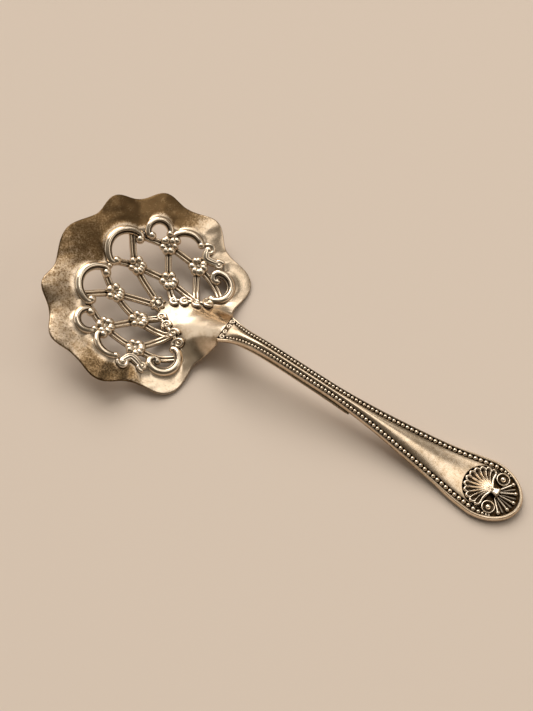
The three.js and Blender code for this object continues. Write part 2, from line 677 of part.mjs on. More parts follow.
// Trellis bars, halved into each other and fitted to the scrolls, then the knots over the crossings
for (const [side, sign] of sides) {
  const upper = boxSection(BAR_WIDTH / 2 + SEAM, -SEAM, BAR_HEIGHT);
  const lower = boxSection(BAR_WIDTH / 2 + SEAM, -BAR_HEIGHT, SEAM);
  const families = [[ALONG, ACROSS, upper], [ACROSS, ALONG, lower]];
  for (const [own, other, notch] of families) {
    for (const [name, spots] of Object.entries(own)) {
      let solid = bar(spots, barSection(0));
      for (const crossing of Object.values(other)) {
        solid = solid.subtract(bar(crossing, notch));
      }
      const fitted = trimmed(mirrored(solid, sign).subtract(room));
      bowlGroup.add(named(`${name}_${side}`, fitted, silver));
    }
  }
  KNOTS.forEach((centre, at) => {
    const whole = mirrored(knot(centre, KNOT_ARMS[at]), sign);
    bowlGroup.add(named(`knot_${at + 1}_${side}`, trimmed(whole.subtract(room)), bright));
  });
}

// Bowl: the sheet is pierced, cut off square at the neck, seated to the scrolls, and carries the tang
const turns = Array.from({ length: 66 }, (_, step) => Math.PI - (2 * Math.PI * (step + 0.5)) / 66);
const sheet = skin(turns.map(sheetLoop), true);
const field = new THREE.ExtrudeGeometry(fieldShape(), { depth: 2 * ROOM, bevelEnabled: false });
field.translate(0, 0, -ROOM);
const beyond = new THREE.BoxGeometry(40, 80, 60).translate(NECK_X + 20, 0, 0).applyMatrix4(spoonToBowl);
const opening = solidOf(field).add(room);
const footSection = boxSection(BAR_WIDTH / 2 + SEAM, -2, 2);
const feet = Object.values({ ...ALONG, ...ACROSS }).map((spots) => bar(spots, footSection));
const footed = sides.flatMap(([, sign]) => feet.map((foot) => mirrored(foot, sign)));
const whole = footed.reduce((sum, foot) => sum.add(foot), opening);
const seated = sheet.subtract(whole).subtract(solidOf(beyond));
const tangGeometry = geometryOf(tangSolid()).applyMatrix4(spoonToBowl);
bowlGroup.add(named('bowl', trimmed(seated.add(solidOf(tangGeometry))), silver));

// Handle and its ornament
const handleGroup = new THREE.Group();
const blank = skin(handleStations().map(handleRing), false);
const channels = [endRecess(), ...sides.map(([, sign]) => mirrored(beadChannel(), sign))];
handleGroup.add(named('handle', trimmed(channels.reduce((left, one) => left.subtract(one), blank)), silver));
for (const [side, sign] of sides) {
  handleGroup.add(named(`bead_border_${side}`, trimmed(mirrored(beadBorder(), sign)), bright));
  handleGroup.add(named(`roundel_${side}`, mirrored(roundelSolid(), sign), bright));
}
handleGroup.add(named('shell', trimmed(shellSolid()), bright));
handleGroup.add(named('ray_spray', trimmed(raySpray()), bright));

// The frame's origin is under the middle of the spoon, on the table
const spoon = new THREE.Group();
spoon.add(bowlGroup, handleGroup);
spoon.updateMatrixWorld(true);
const box = new THREE.Box3().setFromObject(spoon, true);
const shift = -(box.min.x + box.max.x) / 2;
bowlGroup.position.x += shift;
handleGroup.position.x += shift;

export default spoon;
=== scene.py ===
import bpy
import bmesh
import numpy as np
from mathutils import Matrix


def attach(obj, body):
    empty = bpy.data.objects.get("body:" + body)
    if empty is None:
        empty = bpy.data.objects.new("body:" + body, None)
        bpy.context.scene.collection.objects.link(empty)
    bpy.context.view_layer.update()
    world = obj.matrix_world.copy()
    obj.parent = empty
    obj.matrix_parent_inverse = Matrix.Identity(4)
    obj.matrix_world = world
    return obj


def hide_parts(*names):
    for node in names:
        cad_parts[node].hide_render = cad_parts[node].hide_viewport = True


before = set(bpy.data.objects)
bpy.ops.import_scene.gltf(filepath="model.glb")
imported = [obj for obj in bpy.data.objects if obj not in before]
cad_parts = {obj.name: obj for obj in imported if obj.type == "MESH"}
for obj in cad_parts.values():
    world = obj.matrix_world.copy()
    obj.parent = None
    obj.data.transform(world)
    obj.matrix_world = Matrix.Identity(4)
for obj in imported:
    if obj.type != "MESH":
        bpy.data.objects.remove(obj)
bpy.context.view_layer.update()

# Everything is worked out in millimetres of the spoon, x from the far rim to the handle's tip,
# and goes into the frame's metres at the end
place = dict(shiftX=-67.7197, bowlX=26.2, bowlZ=7.8706, tilt=np.radians(18.9))
mend = dict(join=2e-7, sliver=1e-8)  # metres: points nearer than this are one, shorter edges go
sides = dict(left=1.0, right=-1.0)
tarnishAndShade = ("soot", "stain", "patina")
upright = (0, 0, 1.0)


# Meshes

def toFrame(points):  # spoon millimetres, moved along x and scaled to metres
    return (np.asarray(points, float) + [place["shiftX"], 0, 0]) * 0.001


def bowlToSpoon(points):  # the bowl's own level frame, turned about y by its tilt and set down
    c, s = np.cos(place["tilt"]), np.sin(place["tilt"])
    x, y, z = points[..., 0], points[..., 1], points[..., 2]
    return np.stack([place["bowlX"] + x * c + z * s, y, place["bowlZ"] - x * s + z * c], -1)


def gridFaces(rows, cols, closeRows, closeCols, first):  # four corners of every cell of a grid
    r = np.arange(rows if closeRows else rows - 1)
    c = np.arange(cols if closeCols else cols - 1)
    r, c = np.meshgrid(r, c, indexing="ij")
    r2, c2 = (r + 1) % rows, (c + 1) % cols
    quads = np.stack([r * cols + c, r2 * cols + c, r2 * cols + c2, r * cols + c2], -1)
    return quads.reshape(-1, 4) + first


def added(name, data):  # object in the scene
    thing = bpy.data.objects.new(name, data)
    bpy.context.scene.collection.objects.link(thing)
    return thing


def makePiece(node, ending, shells, slotName="silver_bright"):  # the piece that stands for a node
    # shells: list of (grid of points, closed along rows, closed along columns, stain, oxide and painted
    # shade by name)
    points, faces, values, first = [], [], {kind: [] for kind in tarnishAndShade}, 0
    for grid, closeRows, closeCols, extra in shells:
        flat = grid.reshape(-1, 3)
        points.append(flat)
        faces.append(gridFaces(*grid.shape[:2], closeRows, closeCols, first))
        for kind in tarnishAndShade:
            full = np.broadcast_to(extra.get(kind, 0.0), grid.shape[:2])
            values[kind].append(full.reshape(-1))
        first += len(flat)
    mesh = bpy.data.meshes.new(f"{node}_{ending}")
    mesh.from_pydata(toFrame(np.concatenate(points)), [], np.concatenate(faces), shade_flat=False)
    for kind in tarnishAndShade:
        layer = mesh.attributes.new(kind, "FLOAT", "POINT")
        layer.data.foreach_set("value", np.concatenate(values[kind]).astype(np.float32))
    work = bmesh.new()
    work.from_mesh(mesh)
    bmesh.ops.remove_doubles(work, verts=work.verts, dist=mend["join"])  # closes the poles
    bmesh.ops.dissolve_degenerate(work, edges=work.edges, dist=mend["sliver"])
    bmesh.ops.recalc_face_normals(work, faces=work.faces)
    work.to_mesh(mesh)
    work.free()
    mesh.polygons.foreach_set("use_smooth", np.ones(len(mesh.polygons), bool))
    mesh.update()
    mesh.materials.append(finishes[slotName])
    piece = added(mesh.name, mesh)
    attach(piece, "root")
    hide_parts(node)


def smooth(low, high, x):  # 0 below low, 1 above high, with an even bend between
    t = np.clip((x - low) / (high - low), 0, 1)
    return t * t * (3 - 2 * t)


def unit(v):
    return v / np.maximum(np.linalg.norm(v, axis=-1, keepdims=True), 1e-12)


def shares(count):  # even steps from 0 to 1
    return np.linspace(0, 1, count)


def circle(count):  # points of a round section of radius 1
    turn = np.linspace(0, 2 * np.pi, count, endpoint=False)
    return np.stack([np.cos(turn), np.sin(turn)], -1)


def squared(count, power=0.6):  # rounded square: each coordinate of the circle drawn outwards
    return np.sign(circle(count)) * np.abs(circle(count)) ** power


def capped(grid):  # closes both end rows to their middle
    ends = grid[[0, -1]].mean(1, keepdims=True) * np.ones((1, grid.shape[1], 1))
    return np.concatenate([ends[:1], grid, ends[1:]])


def averaged(values, wide, rounds=1):  # mean over a window that slides along the row
    for _ in range(rounds):
        values = np.convolve(np.pad(values, wide // 2, mode="edge"), np.ones(wide + 1) / (wide + 1), "valid")
    return values


def bent(a, b, slopeA, slopeB, t):  # cubic from a to b with these slopes at its ends
    return ((2 * (a - b) + slopeA + slopeB) * t + 3 * (b - a) - 2 * slopeA - slopeB) * t * t + slopeA * t + a


def curveThrough(spots, steps):  # cubics through its points, slope from the points on either side
    p = np.asarray(spots, float)
    last = len(p) - 1
    t = np.linspace(0, last, steps + 1)
    i = np.minimum(t.astype(int), last - 1)
    p0, p1, p2, p3 = p[np.maximum(i - 1, 0)], p[i], p[i + 1], p[np.minimum(i + 2, last)]
    return bent(p1, p2, (p2 - p0) / 2, (p3 - p1) / 2, (t - i)[:, None])


def lengthsAlong(line):  # distance from the start to each point of a line
    return np.concatenate([[0], np.cumsum(np.linalg.norm(np.diff(line, axis=0), axis=1))])


def evenly(line, count):  # the same line with its points at equal distances
    run = lengthsAlong(line)
    at = np.linspace(0, run[-1], count)
    return np.stack([np.interp(at, run, line[:, k]) for k in range(line.shape[1])], -1)


def arcThrough(a, m, b, steps):  # part of the circle through three plan points, taken as complex numbers
    a, m, b = (complex(*spot) for spot in (a, m, b))
    w = (b - a) / (m - a)
    centre = a + (m - a) * (w - abs(w) ** 2) / (2j * w.imag)
    swing = np.angle((b - centre) / (a - centre)) % (2 * np.pi)
    swing = swing if w.imag > 0 else swing - 2 * np.pi
    line = centre + (a - centre) * np.exp(1j * swing * shares(steps + 1))
    return np.stack([line.real, line.imag], -1)


def withHook(line, turn, length, steps=14):  # goes on from the end in a bend that tightens
    if turn <= 0:
        return line
    d, before = line[-1] - line[-2], line[-2] - line[-3]
    sense = np.sign(before[0] * d[1] - before[1] * d[0])
    share = shares(steps + 1)[1:]
    heading = np.arctan2(d[1], d[0]) + sense * turn * share ** 1.25
    moves = np.stack([np.cos(heading), np.sin(heading)], -1) * length / steps
    return np.concatenate([line, line[-1] + np.cumsum(moves, 0)])


capBend = np.radians([0.5, 18, 40, 62, 80])  # rings that close the end of a tube


def tube(path, radius, up, around=18, section=None, blunt=1.0):
    # ring of points round each point of the path, square to it; the ends close in half a ball
    path, up = np.asarray(path, float), np.broadcast_to(up, path.shape)
    radius = np.broadcast_to(radius, len(path))
    along = unit(np.gradient(path, axis=0))
    head = path[0] - along[0] * blunt * radius[0] * np.cos(capBend)[:, None]
    tail = path[-1] + along[-1] * blunt * radius[-1] * np.cos(capBend[::-1])[:, None]
    path = np.concatenate([head, path, tail])
    radius = np.concatenate([radius[0] * np.sin(capBend), radius, radius[-1] * np.sin(capBend[::-1])])
    along, up = (np.pad(v, ((len(capBend), len(capBend)), (0, 0)), mode="edge") for v in (along, up))
    side = unit(np.cross(along, up))
    rise = np.cross(side, along)
    ring = (circle(around) if section is None else section)[None] * radius[:, None, None]
    return path[:, None] + ring[..., :1] * side[:, None] + ring[..., 1:] * rise[:, None]


def ball(centre, radius, axis=upright, squash=1.0, rows=14, cols=22):
    # distance from the centre is the radius in every direction, shortened along the axis
    axis = unit(np.array(axis))
    side = unit(np.cross(axis, [0.31, 0.87, 0.11]))  # any direction that isn't the axis would do
    tip = np.linspace(0, np.pi, rows)[:, None, None]
    ring = circle(cols) @ np.stack([side, np.cross(axis, side)])
    grid = radius * (np.sin(tip) * ring + squash * np.cos(tip) * axis) + centre
    return grid, np.cos(tip)[..., 0]


def rolled(grid, **kinds):  # shell whose columns close in a ring
    return grid, False, True, kinds


def ballShell(centre, radius, **kind):
    grid, height = ball(centre, radius, **kind)
    return rolled(grid, soot=smooth(-0.2, -0.75, height))  # painted shade below its waist


def spiral(centre, outer, turns, start, sense, closing, rows):  # radius falls evenly with the turn
    share = shares(rows)
    angle = start + sense * 2 * np.pi * turns * share
    radius = outer * (1 - closing * share)
    return np.stack([radius * np.cos(angle), radius * np.sin(angle)], -1) + centre


# Finishes: warm aged silver, dark with oxide where polish never reaches and with painted shade in crevices
# and under parts

patterns = dict(
    cloud=(160, 3, 0.55), blotch=(420, 6, 0.75), speck=(1900, 3, 0.6), smudge=(900, 3, 0.55),
    patch=(520, 8, 0.8), grain=(2300, 2, 0.6), polish=(650, 4, 0.55), pits=(2600, 3, 0.55),
    dents=(500, 3, 0.55))  # scale, detail, roughness


def nodeTools(tree):  # what the finishes and the room are both made of
    nodes, link = tree.nodes, tree.links.new

    def put(value, socket):  # numbers and colours are set, outputs are linked
        if isinstance(value, float):
            socket.default_value = value
        elif isinstance(value, tuple):
            socket.default_value = (*value, 1)
        else:
            link(value, socket)

    def ranged(value, low, high, toLow=0.0, toHigh=1.0, kind="LINEAR"):
        node = nodes.new("ShaderNodeMapRange")
        node.interpolation_type = kind
        for socket, limit in zip(("From Min", "From Max", "To Min", "To Max"), (low, high, toLow, toHigh)):
            node.inputs[socket].default_value = limit
        link(value, node.inputs["Value"])
        return node.outputs["Result"]

    def tinted(amount, under, over):
        node = nodes.new("ShaderNodeMix")
        node.data_type = "RGBA"
        link(amount, node.inputs["Factor"])
        put(under, node.inputs[6])
        put(over, node.inputs[7])
        return node.outputs[2]

    return nodes, link, put, ranged, tinted


def agedSilver(name, s):
    material = bpy.data.materials.new(name)
    material.use_nodes = True
    nodes, link, put, ranged, tinted = nodeTools(material.node_tree)
    shader = nodes["Principled BSDF"]
    put(1.0, shader.inputs["Metallic"])
    put(s["edgeTint"], shader.inputs["Specular Tint"])
    coords = nodes.new("ShaderNodeTexCoord").outputs["Object"]

    def noise(pattern):
        node = nodes.new("ShaderNodeTexNoise")
        for socket, value in zip(("Scale", "Detail", "Roughness"), patterns[pattern]):
            node.inputs[socket].default_value = value
        link(coords, node.inputs["Vector"])
        return node.outputs["Fac"]

    def maths(kind):
        def result(a, b):
            node = nodes.new("ShaderNodeMath")
            node.operation, node.use_clamp = kind, True
            put(a, node.inputs[0])
            put(b, node.inputs[1])
            return node.outputs["Value"]

        return result

    def painted(attribute):
        node = nodes.new("ShaderNodeAttribute")
        node.attribute_name = attribute
        return node.outputs["Fac"]

    times, most, plus = maths("MULTIPLY"), maths("MAXIMUM"), maths("ADD")

    # painted shade and oxide: from the attribute, and painted shade in crevices found by an occlusion node;
    # stain: specks and blotches where it is painted
    hollow = nodes.new("ShaderNodeAmbientOcclusion")
    put(s["hollow"], hollow.inputs["Distance"])
    hollow.samples = 8
    creviceShade = ranged(hollow.outputs["AO"], *s["shade"], 1.0, 0.0)
    soot = most(creviceShade, painted("soot"))
    soot = times(soot, ranged(noise("smudge"), 0.2, 0.6, 0.95, 1.0))
    blotch = times(ranged(noise("blotch"), 0.46, 0.72), 0.65)
    speck = ranged(noise("speck"), 0.53, 0.66)
    stain = times(painted("stain"), most(blotch, speck))

    # brown layer of patina and painted shade: comes and goes in patches, grainy where it is thick, yellow
    # first and then brown
    patchy = ranged(noise("patch"), 0.28, 0.72, -0.34, 0.34)
    grain = times(painted("patina"), ranged(noise("grain"), 0.46, 0.64, 0.0, 0.6))
    filmAndShade = ranged(plus(plus(painted("patina"), patchy), grain), 0.17, 1.08)

    colour = tinted(ranged(noise("cloud"), 0.35, 0.7), s["bright"], s["warm"])
    colour = tinted(ranged(filmAndShade, 0.0, 0.6), colour, s["tawny"])
    colour = tinted(ranged(filmAndShade, 0.3, 1.0), colour, s["filmAndShade"])
    colour = tinted(times(stain, s["stain"]), colour, s["brown"])
    colour = tinted(soot, colour, s["black"])
    link(colour, shader.inputs["Base Color"])

    worn = most(most(soot, stain), times(painted("stain"), 0.6))
    polish = ranged(noise("polish"), 0.3, 0.7, *s["rough"])
    link(plus(polish, times(worn, s["dull"])), shader.inputs["Roughness"])
    bump = nodes.new("ShaderNodeBump")
    put(s["bump"], bump.inputs["Strength"])
    put(s["bumpDepth"], bump.inputs["Distance"])
    link(plus(noise("pits"), times(noise("dents"), 0.6)), bump.inputs["Height"])
    link(bump.outputs["Normal"], shader.inputs["Normal"])
    return material


satinLook = dict(
    bright=(0.76, 0.625, 0.48), warm=(0.66, 0.525, 0.38), tawny=(0.40, 0.27, 0.145),
    filmAndShade=(0.085, 0.049, 0.019), brown=(0.13, 0.072, 0.032), black=(0.022, 0.0105, 0.0025),
    edgeTint=(1.0, 0.93, 0.82), stain=0.85, rough=(0.17, 0.24), dull=0.18, bump=0.025, bumpDepth=0.0002,
    hollow=0.0016, shade=(0.32, 0.8))
brightLook = dict(
    satinLook, bright=(0.80, 0.69, 0.555), warm=(0.70, 0.575, 0.435), rough=(0.14, 0.2), bump=0.015,
    hollow=0.0011, shade=(0.25, 0.66))
finishes = {"silver_satin": agedSilver("satin_silver", satinLook),
            "silver_bright": agedSilver("bright_silver", brightLook)}  # by slot
print("finishes made")


# Bowl surface: a dish with a fluted rim, and a heel ridge drawn up to the neck

dish = dict(
    valleys=[(24, 22.6, 0.5), (69, 25.4, -0.8), (103, 27.3, -0.4), (131, 27.4, -0.7), (159, 26.2, -0.5),
             (201, 26.2, -0.5)],  # degrees, radius, rise
    lobes=[(28.1, -0.35), (28.5, 0.35), (29.5, 0.0), (28.8, 0.35), (27.9, 0.35)],  # radius, rise
    crease=0.3, creasePower=1.15, flute=1.4, flutePower=3.5, depth=4.2, floor=0.14, dropTip=2.6,
    heelRise=10.4, heelPower=1.6, heelWidth=5.6, heelFlat=2.6, neckRadius=22.6, neckX=49.0)


def rimAt(angle):  # radius and rise wave from valley to lobe to valley
    v, lobes = np.array(dish["valleys"], float), np.array(dish["lobes"], float)
    degrees = np.degrees(np.abs(angle))
    right = np.clip(np.searchsorted(v[:, 0], degrees, side="right"), 1, len(v) - 1)
    left = right - 1
    share = np.clip((degrees - v[left, 0]) / (v[right, 0] - v[left, 0]), 0, 1)
    wave = (1 - np.cos(2 * np.pi * share)) / 2
    sharp = 1 - np.sin(np.pi / 2 * np.abs(2 * share - 1)) ** dish["creasePower"]  # on the crown of a lobe
    fold = (1 - dish["crease"]) * wave + dish["crease"] * sharp
    radius = v[left, 1] + (v[right, 1] - v[left, 1]) * share
    rise = v[left, 2] + (v[right, 2] - v[left, 2]) * share
    return radius + (lobes[left, 0] - radius) * wave, (rise + (lobes[left, 1] - rise) * fold) * dish["flute"]


def dishHeight(x, y):  # wall climbs from floor to rim, plus the flutes, plus the heel
    radius, rise = rimAt(np.arctan2(y, x))
    share = np.minimum(1, np.hypot(x, y) / radius)
    climb = np.maximum(0, (x - dish["dropTip"]) / (dish["neckRadius"] - dish["dropTip"]))
    fall = np.exp(-np.abs(y / dish["heelWidth"]) ** dish["heelFlat"])
    heel = dish["heelRise"] * climb ** dish["heelPower"] * fall
    return dish["depth"] * (smooth(dish["floor"], 1, share) - 1) + rise * share ** dish["flutePower"] + heel


def onDish(plan, lift):  # plan points of the bowl, set on the dish or above it
    plan = np.asarray(plan, float)
    return np.concatenate([plan, (dishHeight(plan[..., 0], plan[..., 1]) + lift)[..., None]], -1)


def dishNormal(plan, step=0.05):  # square to the slopes along x and y
    plan = np.asarray(plan, float)
    x, y = plan[..., 0], plan[..., 1]
    sx = (dishHeight(x + step, y) - dishHeight(x - step, y)) / (2 * step)
    sy = (dishHeight(x, y + step) - dishHeight(x, y - step)) / (2 * step)
    return unit(np.stack([-sx, -sy, np.ones_like(sx)], -1))


def mirrored(plan, sign):
    return np.asarray(plan, float) * [1, sign]


def dishTube(plan, lift, thick, **kind):  # tube along a plan line, that far above the dish
    return bowlToSpoon(tube(onDish(plan, lift), thick, dishNormal(plan), **kind))


# Plan of the pierced field, one side
field = dict(
    cusp=(-13.2, 0), far=((-14.3, 1.45), (-17.4, 7.2), (-12.5, 12.2)),
    small=((-10.8, 14.2), (-10.9, 18.1), (-5.9, 18)), side=((-4.2, 18.5), (-0.6, 21), (2.9, 20)),
    leaf=((4.9, 20), (6, 17.9), (8, 17.9), (10.2, 18.7)), root=((11.7, 16.7), (16.9, 13), (15, 9.2)),
    drop=((14.4, 7.5), (11.3, 5.7), (8.4, 4.4), (5.8, 3.2)),
    knots=((-4.1, 14.8), (-7.7, 5), (1.7, 7.2), (5.7, 14.8)))

sheet = dict(
    dense=1600, around=420, across=56, thick=0.75, swell=0.65, swellLow=0.3, swellWidth=1.7, swellBlend=120,
    turnBlend=70, rimSteps=9, crowd=1.15, dent=0.025,
    # brown oxide layer round the rim by bearing; on the far flange it also paints a dark reflection
    filmAndShade=[(0, 0), (84, 0), (104, 1), (140, 0.98), (158, 0.88), (172, 0.84), (202, 0.45), (246, 0.33),
          (256, 0.38), (266, 0.7), (292, 0.66), (306, 0.1), (320, 0), (360, 0)])  # bearing, strength


def fieldEdge():
    # Edge of the pierced field, one side and its mirror image: plan points, the bearing of the rim that
    # each faces, and its share of the swelling. Bearings are the points' own, made steady and evened out
    arcs = [arcThrough(*field[k], 40) for k in ("far", "small", "side")]
    edge = np.concatenate([[field["cusp"]], *arcs, curveThrough(field["leaf"], 24),
                           arcThrough(*field["root"], 40),
                           curveThrough((*field["drop"], (dish["dropTip"], 0)), 40)])
    edge = evenly(edge, sheet["dense"])
    ends = field["root"][2], field["leaf"][0], field["leaf"][-1]
    root, leafStart, leafEnd = (np.argmin(np.linalg.norm(edge - spot, axis=1)) for spot in ends)
    swell = np.ones(len(edge))
    swell[leafStart:leafEnd] = sheet["swellLow"]  # curls lie there instead
    swell[root - sheet["swellBlend"] // 2:] = sheet["swellLow"]
    swell = averaged(swell, sheet["swellBlend"])
    turn = np.arctan2(edge[:, 1], edge[:, 0])
    turn[root:] = turn[root] * np.linspace(1, 0, len(turn) - root)
    turn = np.minimum.accumulate(turn)
    wide = sheet["turnBlend"]
    turn = np.concatenate([2 * np.pi - turn[wide:0:-1], turn, -turn[-2:-wide - 2:-1]])
    turn = averaged(turn, wide, 2)[wide:-wide]
    turn[0], turn[-1] = np.pi, 0
    pick = np.linspace(0, len(edge) - 1, sheet["around"])
    picked = np.stack([np.interp(pick, np.arange(len(edge)), v) for v in (*edge.T, turn, swell)], -1)
    picked = np.concatenate([picked, picked[-2:0:-1] * [1, -1, -1, 1]])
    return picked[:, :2], picked[:, 2], picked[:, 3:]


def cutAtNeck(edge, rim):  # rim points past the neck's plane come back to it, towards the edge
    def past(share):
        return bowlToSpoon(onDish(edge + share[:, None] * (rim - edge), 0))[:, 0] > dish["neckX"]

    low, high = np.zeros(len(rim)), np.ones(len(rim))
    for _ in range(30):  # each round halves the span that holds the cut
        middle = (low + high) / 2
        low, high = np.where(past(middle), low, middle), np.where(past(middle), middle, high)
    return edge + np.where(past(np.ones(len(rim))), low, 1)[:, None] * (rim - edge)


def sheetTarnishAndShade(x, y, away, swell):
    # stain towards the far side; a painted shadow line just outside the border's wires; a brown oxide layer
    # by bearing, strongest on the far flange, where it also paints a dark reflection; painted shade that
    # dulls the drop's tip; a brown oxide layer on the heel's flanks; painted shade and oxide at the neck
    off = np.abs(y)
    stain = np.clip(smooth(6, -16, x) * smooth(0.6, 3.0, away) + 0.22, 0, 1)
    stain = stain * smooth(1, 6, np.hypot(x - 15, y) - 8)
    line = 0.8 * smooth(0, -0.7, away - (0.85 + 0.75 * swell))
    bearing = np.degrees(np.arctan2(y, x)) % 360
    filmAndShade = np.interp(bearing, *zip(*sheet["filmAndShade"])) * smooth(0.9, 3, away)
    tip = smooth(12.5, 9.2, x) * smooth(2, 4, x) * smooth(6, 3, off)
    flanks = 0.17 * smooth(5, 9, x) * smooth(1.4, 3.6, off) * smooth(9, 6, off)
    neck = smooth(16, 20, x) * smooth(4.2, 2.4, off)
    filmAndShade = np.max([filmAndShade, 0.2 * tip, flanks + 0.16 * neck], axis=0)
    return stain, np.max([line, 0.34 * tip, 0.16 * neck], axis=0), filmAndShade


def bowlSheet():
    # Two parameters: round the pierced field, and across the flange from its edge to the rim.
    # Plan point = edge + share x (rim - edge); height = dish + a swelling along the edge + slight dents
    edge, turn, swell = fieldEdge()
    reach = rimAt(turn)[0] - sheet["thick"] / 2
    rim = cutAtNeck(edge, np.stack([reach * np.cos(turn), reach * np.sin(turn)], -1))
    share = shares(sheet["across"]) ** sheet["crowd"]
    plan = edge[:, None] + share[None, :, None] * (rim - edge)[:, None]
    away = share[None] * np.linalg.norm(rim - edge, axis=1)[:, None]
    x, y = plan[..., 0], plan[..., 1]
    dent = np.sin(x * 0.9 + 1.3) * np.sin(y * 0.8 + 0.4) + 0.6 * np.sin(x * 1.7 - y * 1.3)
    raised = sheet["swell"] * swell * np.exp(-(away / sheet["swellWidth"]) ** 2)
    top = onDish(plan, raised + sheet["dent"] * dent * smooth(0, 3, away))
    normal = unit(np.cross(np.gradient(top, axis=1), np.roll(top, -1, 0) - np.roll(top, 1, 0)))
    normal = normal * np.sign(normal[..., 2:])
    under = top - normal * sheet["thick"]
    middle, out = (top[:, -1] + under[:, -1]) / 2, unit(top[:, -1] - top[:, -2])
    bend = np.linspace(0, np.pi, sheet["rimSteps"] + 2)[1:-1][None, :, None]
    rounded = np.cos(bend) * normal[:, -1:] + np.sin(bend) * out[:, None]
    rounded = middle[:, None] + sheet["thick"] / 2 * rounded
    loop = np.hstack([top, rounded, under[:, ::-2]])
    stain, soot, filmAndShade = sheetTarnishAndShade(x, y, away, swell)
    edged = np.ones((len(top), sheet["rimSteps"]))  # the rim's round edge carries a painted shade line
    below = np.ones(under[:, ::-2].shape[:2])
    stain = np.hstack([stain, 0.5 * edged, 0.35 * below])
    soot = np.hstack([soot, 0.4 * edged, 0 * below])
    filmAndShade = np.hstack([filmAndShade, np.clip(1.15 * filmAndShade[:, -1:], 0.2, 1) * edged, 0.15 * below])
    return bowlToSpoon(loop), True, True, {"stain": stain, "soot": soot, "patina": filmAndShade}


# Handle: crowned stem and spatulate end, worked out as a section carried along x

stem = dict(
    neckX=49.2, startX=49.3, fineX=116.0, endX=125.6, endLength=10.2, endWidth=8.0, endTop=2.0,
    rows=(190, 110, 130), plainRim=0.79, rim=1.0, recess=0.55, wall=0.16, edge=0.45, sideShare=0.6,
    roundShare=0.05, beadSmall=0.76, beadLarge=1.32, beadTaper=0.17, beadInset=1.55, beadStart=0.3,
    pitch=1.09, seam=0.1, groundX=118.0, shellX=128.3, shellReach=7.5, shellFall=2.2,
    back=(0.985, 0.94, 0.88, 0.8, 0.6, 0.4, 0.2, 0),  # share of the width
    filmAndShade=(0, 0.03, 0.06, 0.1, 0.15, 0.25, 0.4, 0.55, 0.7, 0.7, 0.6, *[0.4] * 5))  # side and back: painted shade, as a brown layer, on the lower side and the back
endX, endLength, endWidth, endTop = (stem[k] for k in ("endX", "endLength", "endWidth", "endTop"))
stemLength = endX - stem["neckX"]


def alongHandle(pairs):  # smooth value through pairs of share of the stem's length, and value there
    x, y = np.array(pairs, float).T * [[stemLength], [1]] + [[stem["neckX"]], [0]]
    slope = np.gradient(y, x)
    slope[1:-1] = (y[2:] - y[:-2]) / (x[2:] - x[:-2])

    def value(at):
        i = np.clip(np.searchsorted(x, at, side="right") - 1, 0, len(x) - 2)
        span = x[i + 1] - x[i]
        t = np.clip((at - x[i]) / span, 0, 1)
        return bent(y[i], y[i + 1], slope[i] * span, slope[i + 1] * span, t)

    return value


heelX = np.linspace(10, 26, 4000)
heelLine = bowlToSpoon(onDish(np.stack([heelX, 0 * heelX], -1), 0))
neckZ = float(np.interp(stem["neckX"], heelLine[:, 0], heelLine[:, 2]))  # heel cut by the neck's plane
crest = alongHandle([
    (0, neckZ), (0.065, neckZ + 1.2), (0.155, neckZ + 1.75), (0.34, 9.9), (0.55, 7.1), (0.73, 4.35),
    (0.82, 3.05), (0.89, endTop + 0.3), (0.94, endTop), (0.98, endTop)])
thickAt = alongHandle([
    (0, 1.8), (0.14, 1.95), (0.6, 1.95), (0.8, 2.1), (0.9, endTop + 0.1), (0.98, endTop + 0.1)])
stemWidth = alongHandle([
    (0, 4), (0.05, 2.85), (0.1, 2.2), (0.18, 1.95), (0.34, 1.9), (0.455, 2), (0.585, 2.8), (0.715, 4.1),
    (0.85, 5.75), (0.925, 7.1), (1, 8), (1.05, 8)])
beadLine = alongHandle([
    (0, 3.2), (0.05, 1.95), (0.1, 1.3), (0.18, 1.06), (0.34, 1.02), (0.455, 1.1), (0.585, 1.75), (0.715, 3),
    (0.85, 4.55), (0.925, 5.6), (1, 6.45), (1.05, 6.45)])
crown = alongHandle([
    (0, 0.2), (0.06, 0.38), (0.13, 0.26), (0.45, 0.22), (0.6, 0.32), (0.77, 0.5), (0.9, 0.42), (1, 0.3),
    (1.2, 0.3)])


def topAt(x):  # the crest, level at the end
    return np.maximum(endTop, crest(x))


def backAt(x):  # the top less the thickness, but not below the floor
    return np.maximum(0, topAt(x) - thickAt(x))


def beadSize(x):  # grows evenly along the stem, shrinks past its end
    past = np.maximum(0, x - endX)
    share = (x - past - stem["neckX"]) / stemLength
    return stem["beadSmall"] + (stem["beadLarge"] - stem["beadSmall"]) * share - stem["beadTaper"] * past


def beadPath():  # plan line of one row of beads, from the end of its curl at the neck to the roundel
    outer = endWidth - stem["beadInset"]
    share = np.concatenate([[0.03, 0.06, 0.1], 0.18 + 0.82 * shares(14)])
    x = stem["neckX"] + share * stemLength
    line = np.stack([x, beadLine(x)], -1)
    end = np.array([[1.8, outer], [3.4, outer - 0.12], [4.6, outer - 0.45]]) + [endX, 0]
    return evenly(curveThrough(np.concatenate([line, end]), 900), 1200)


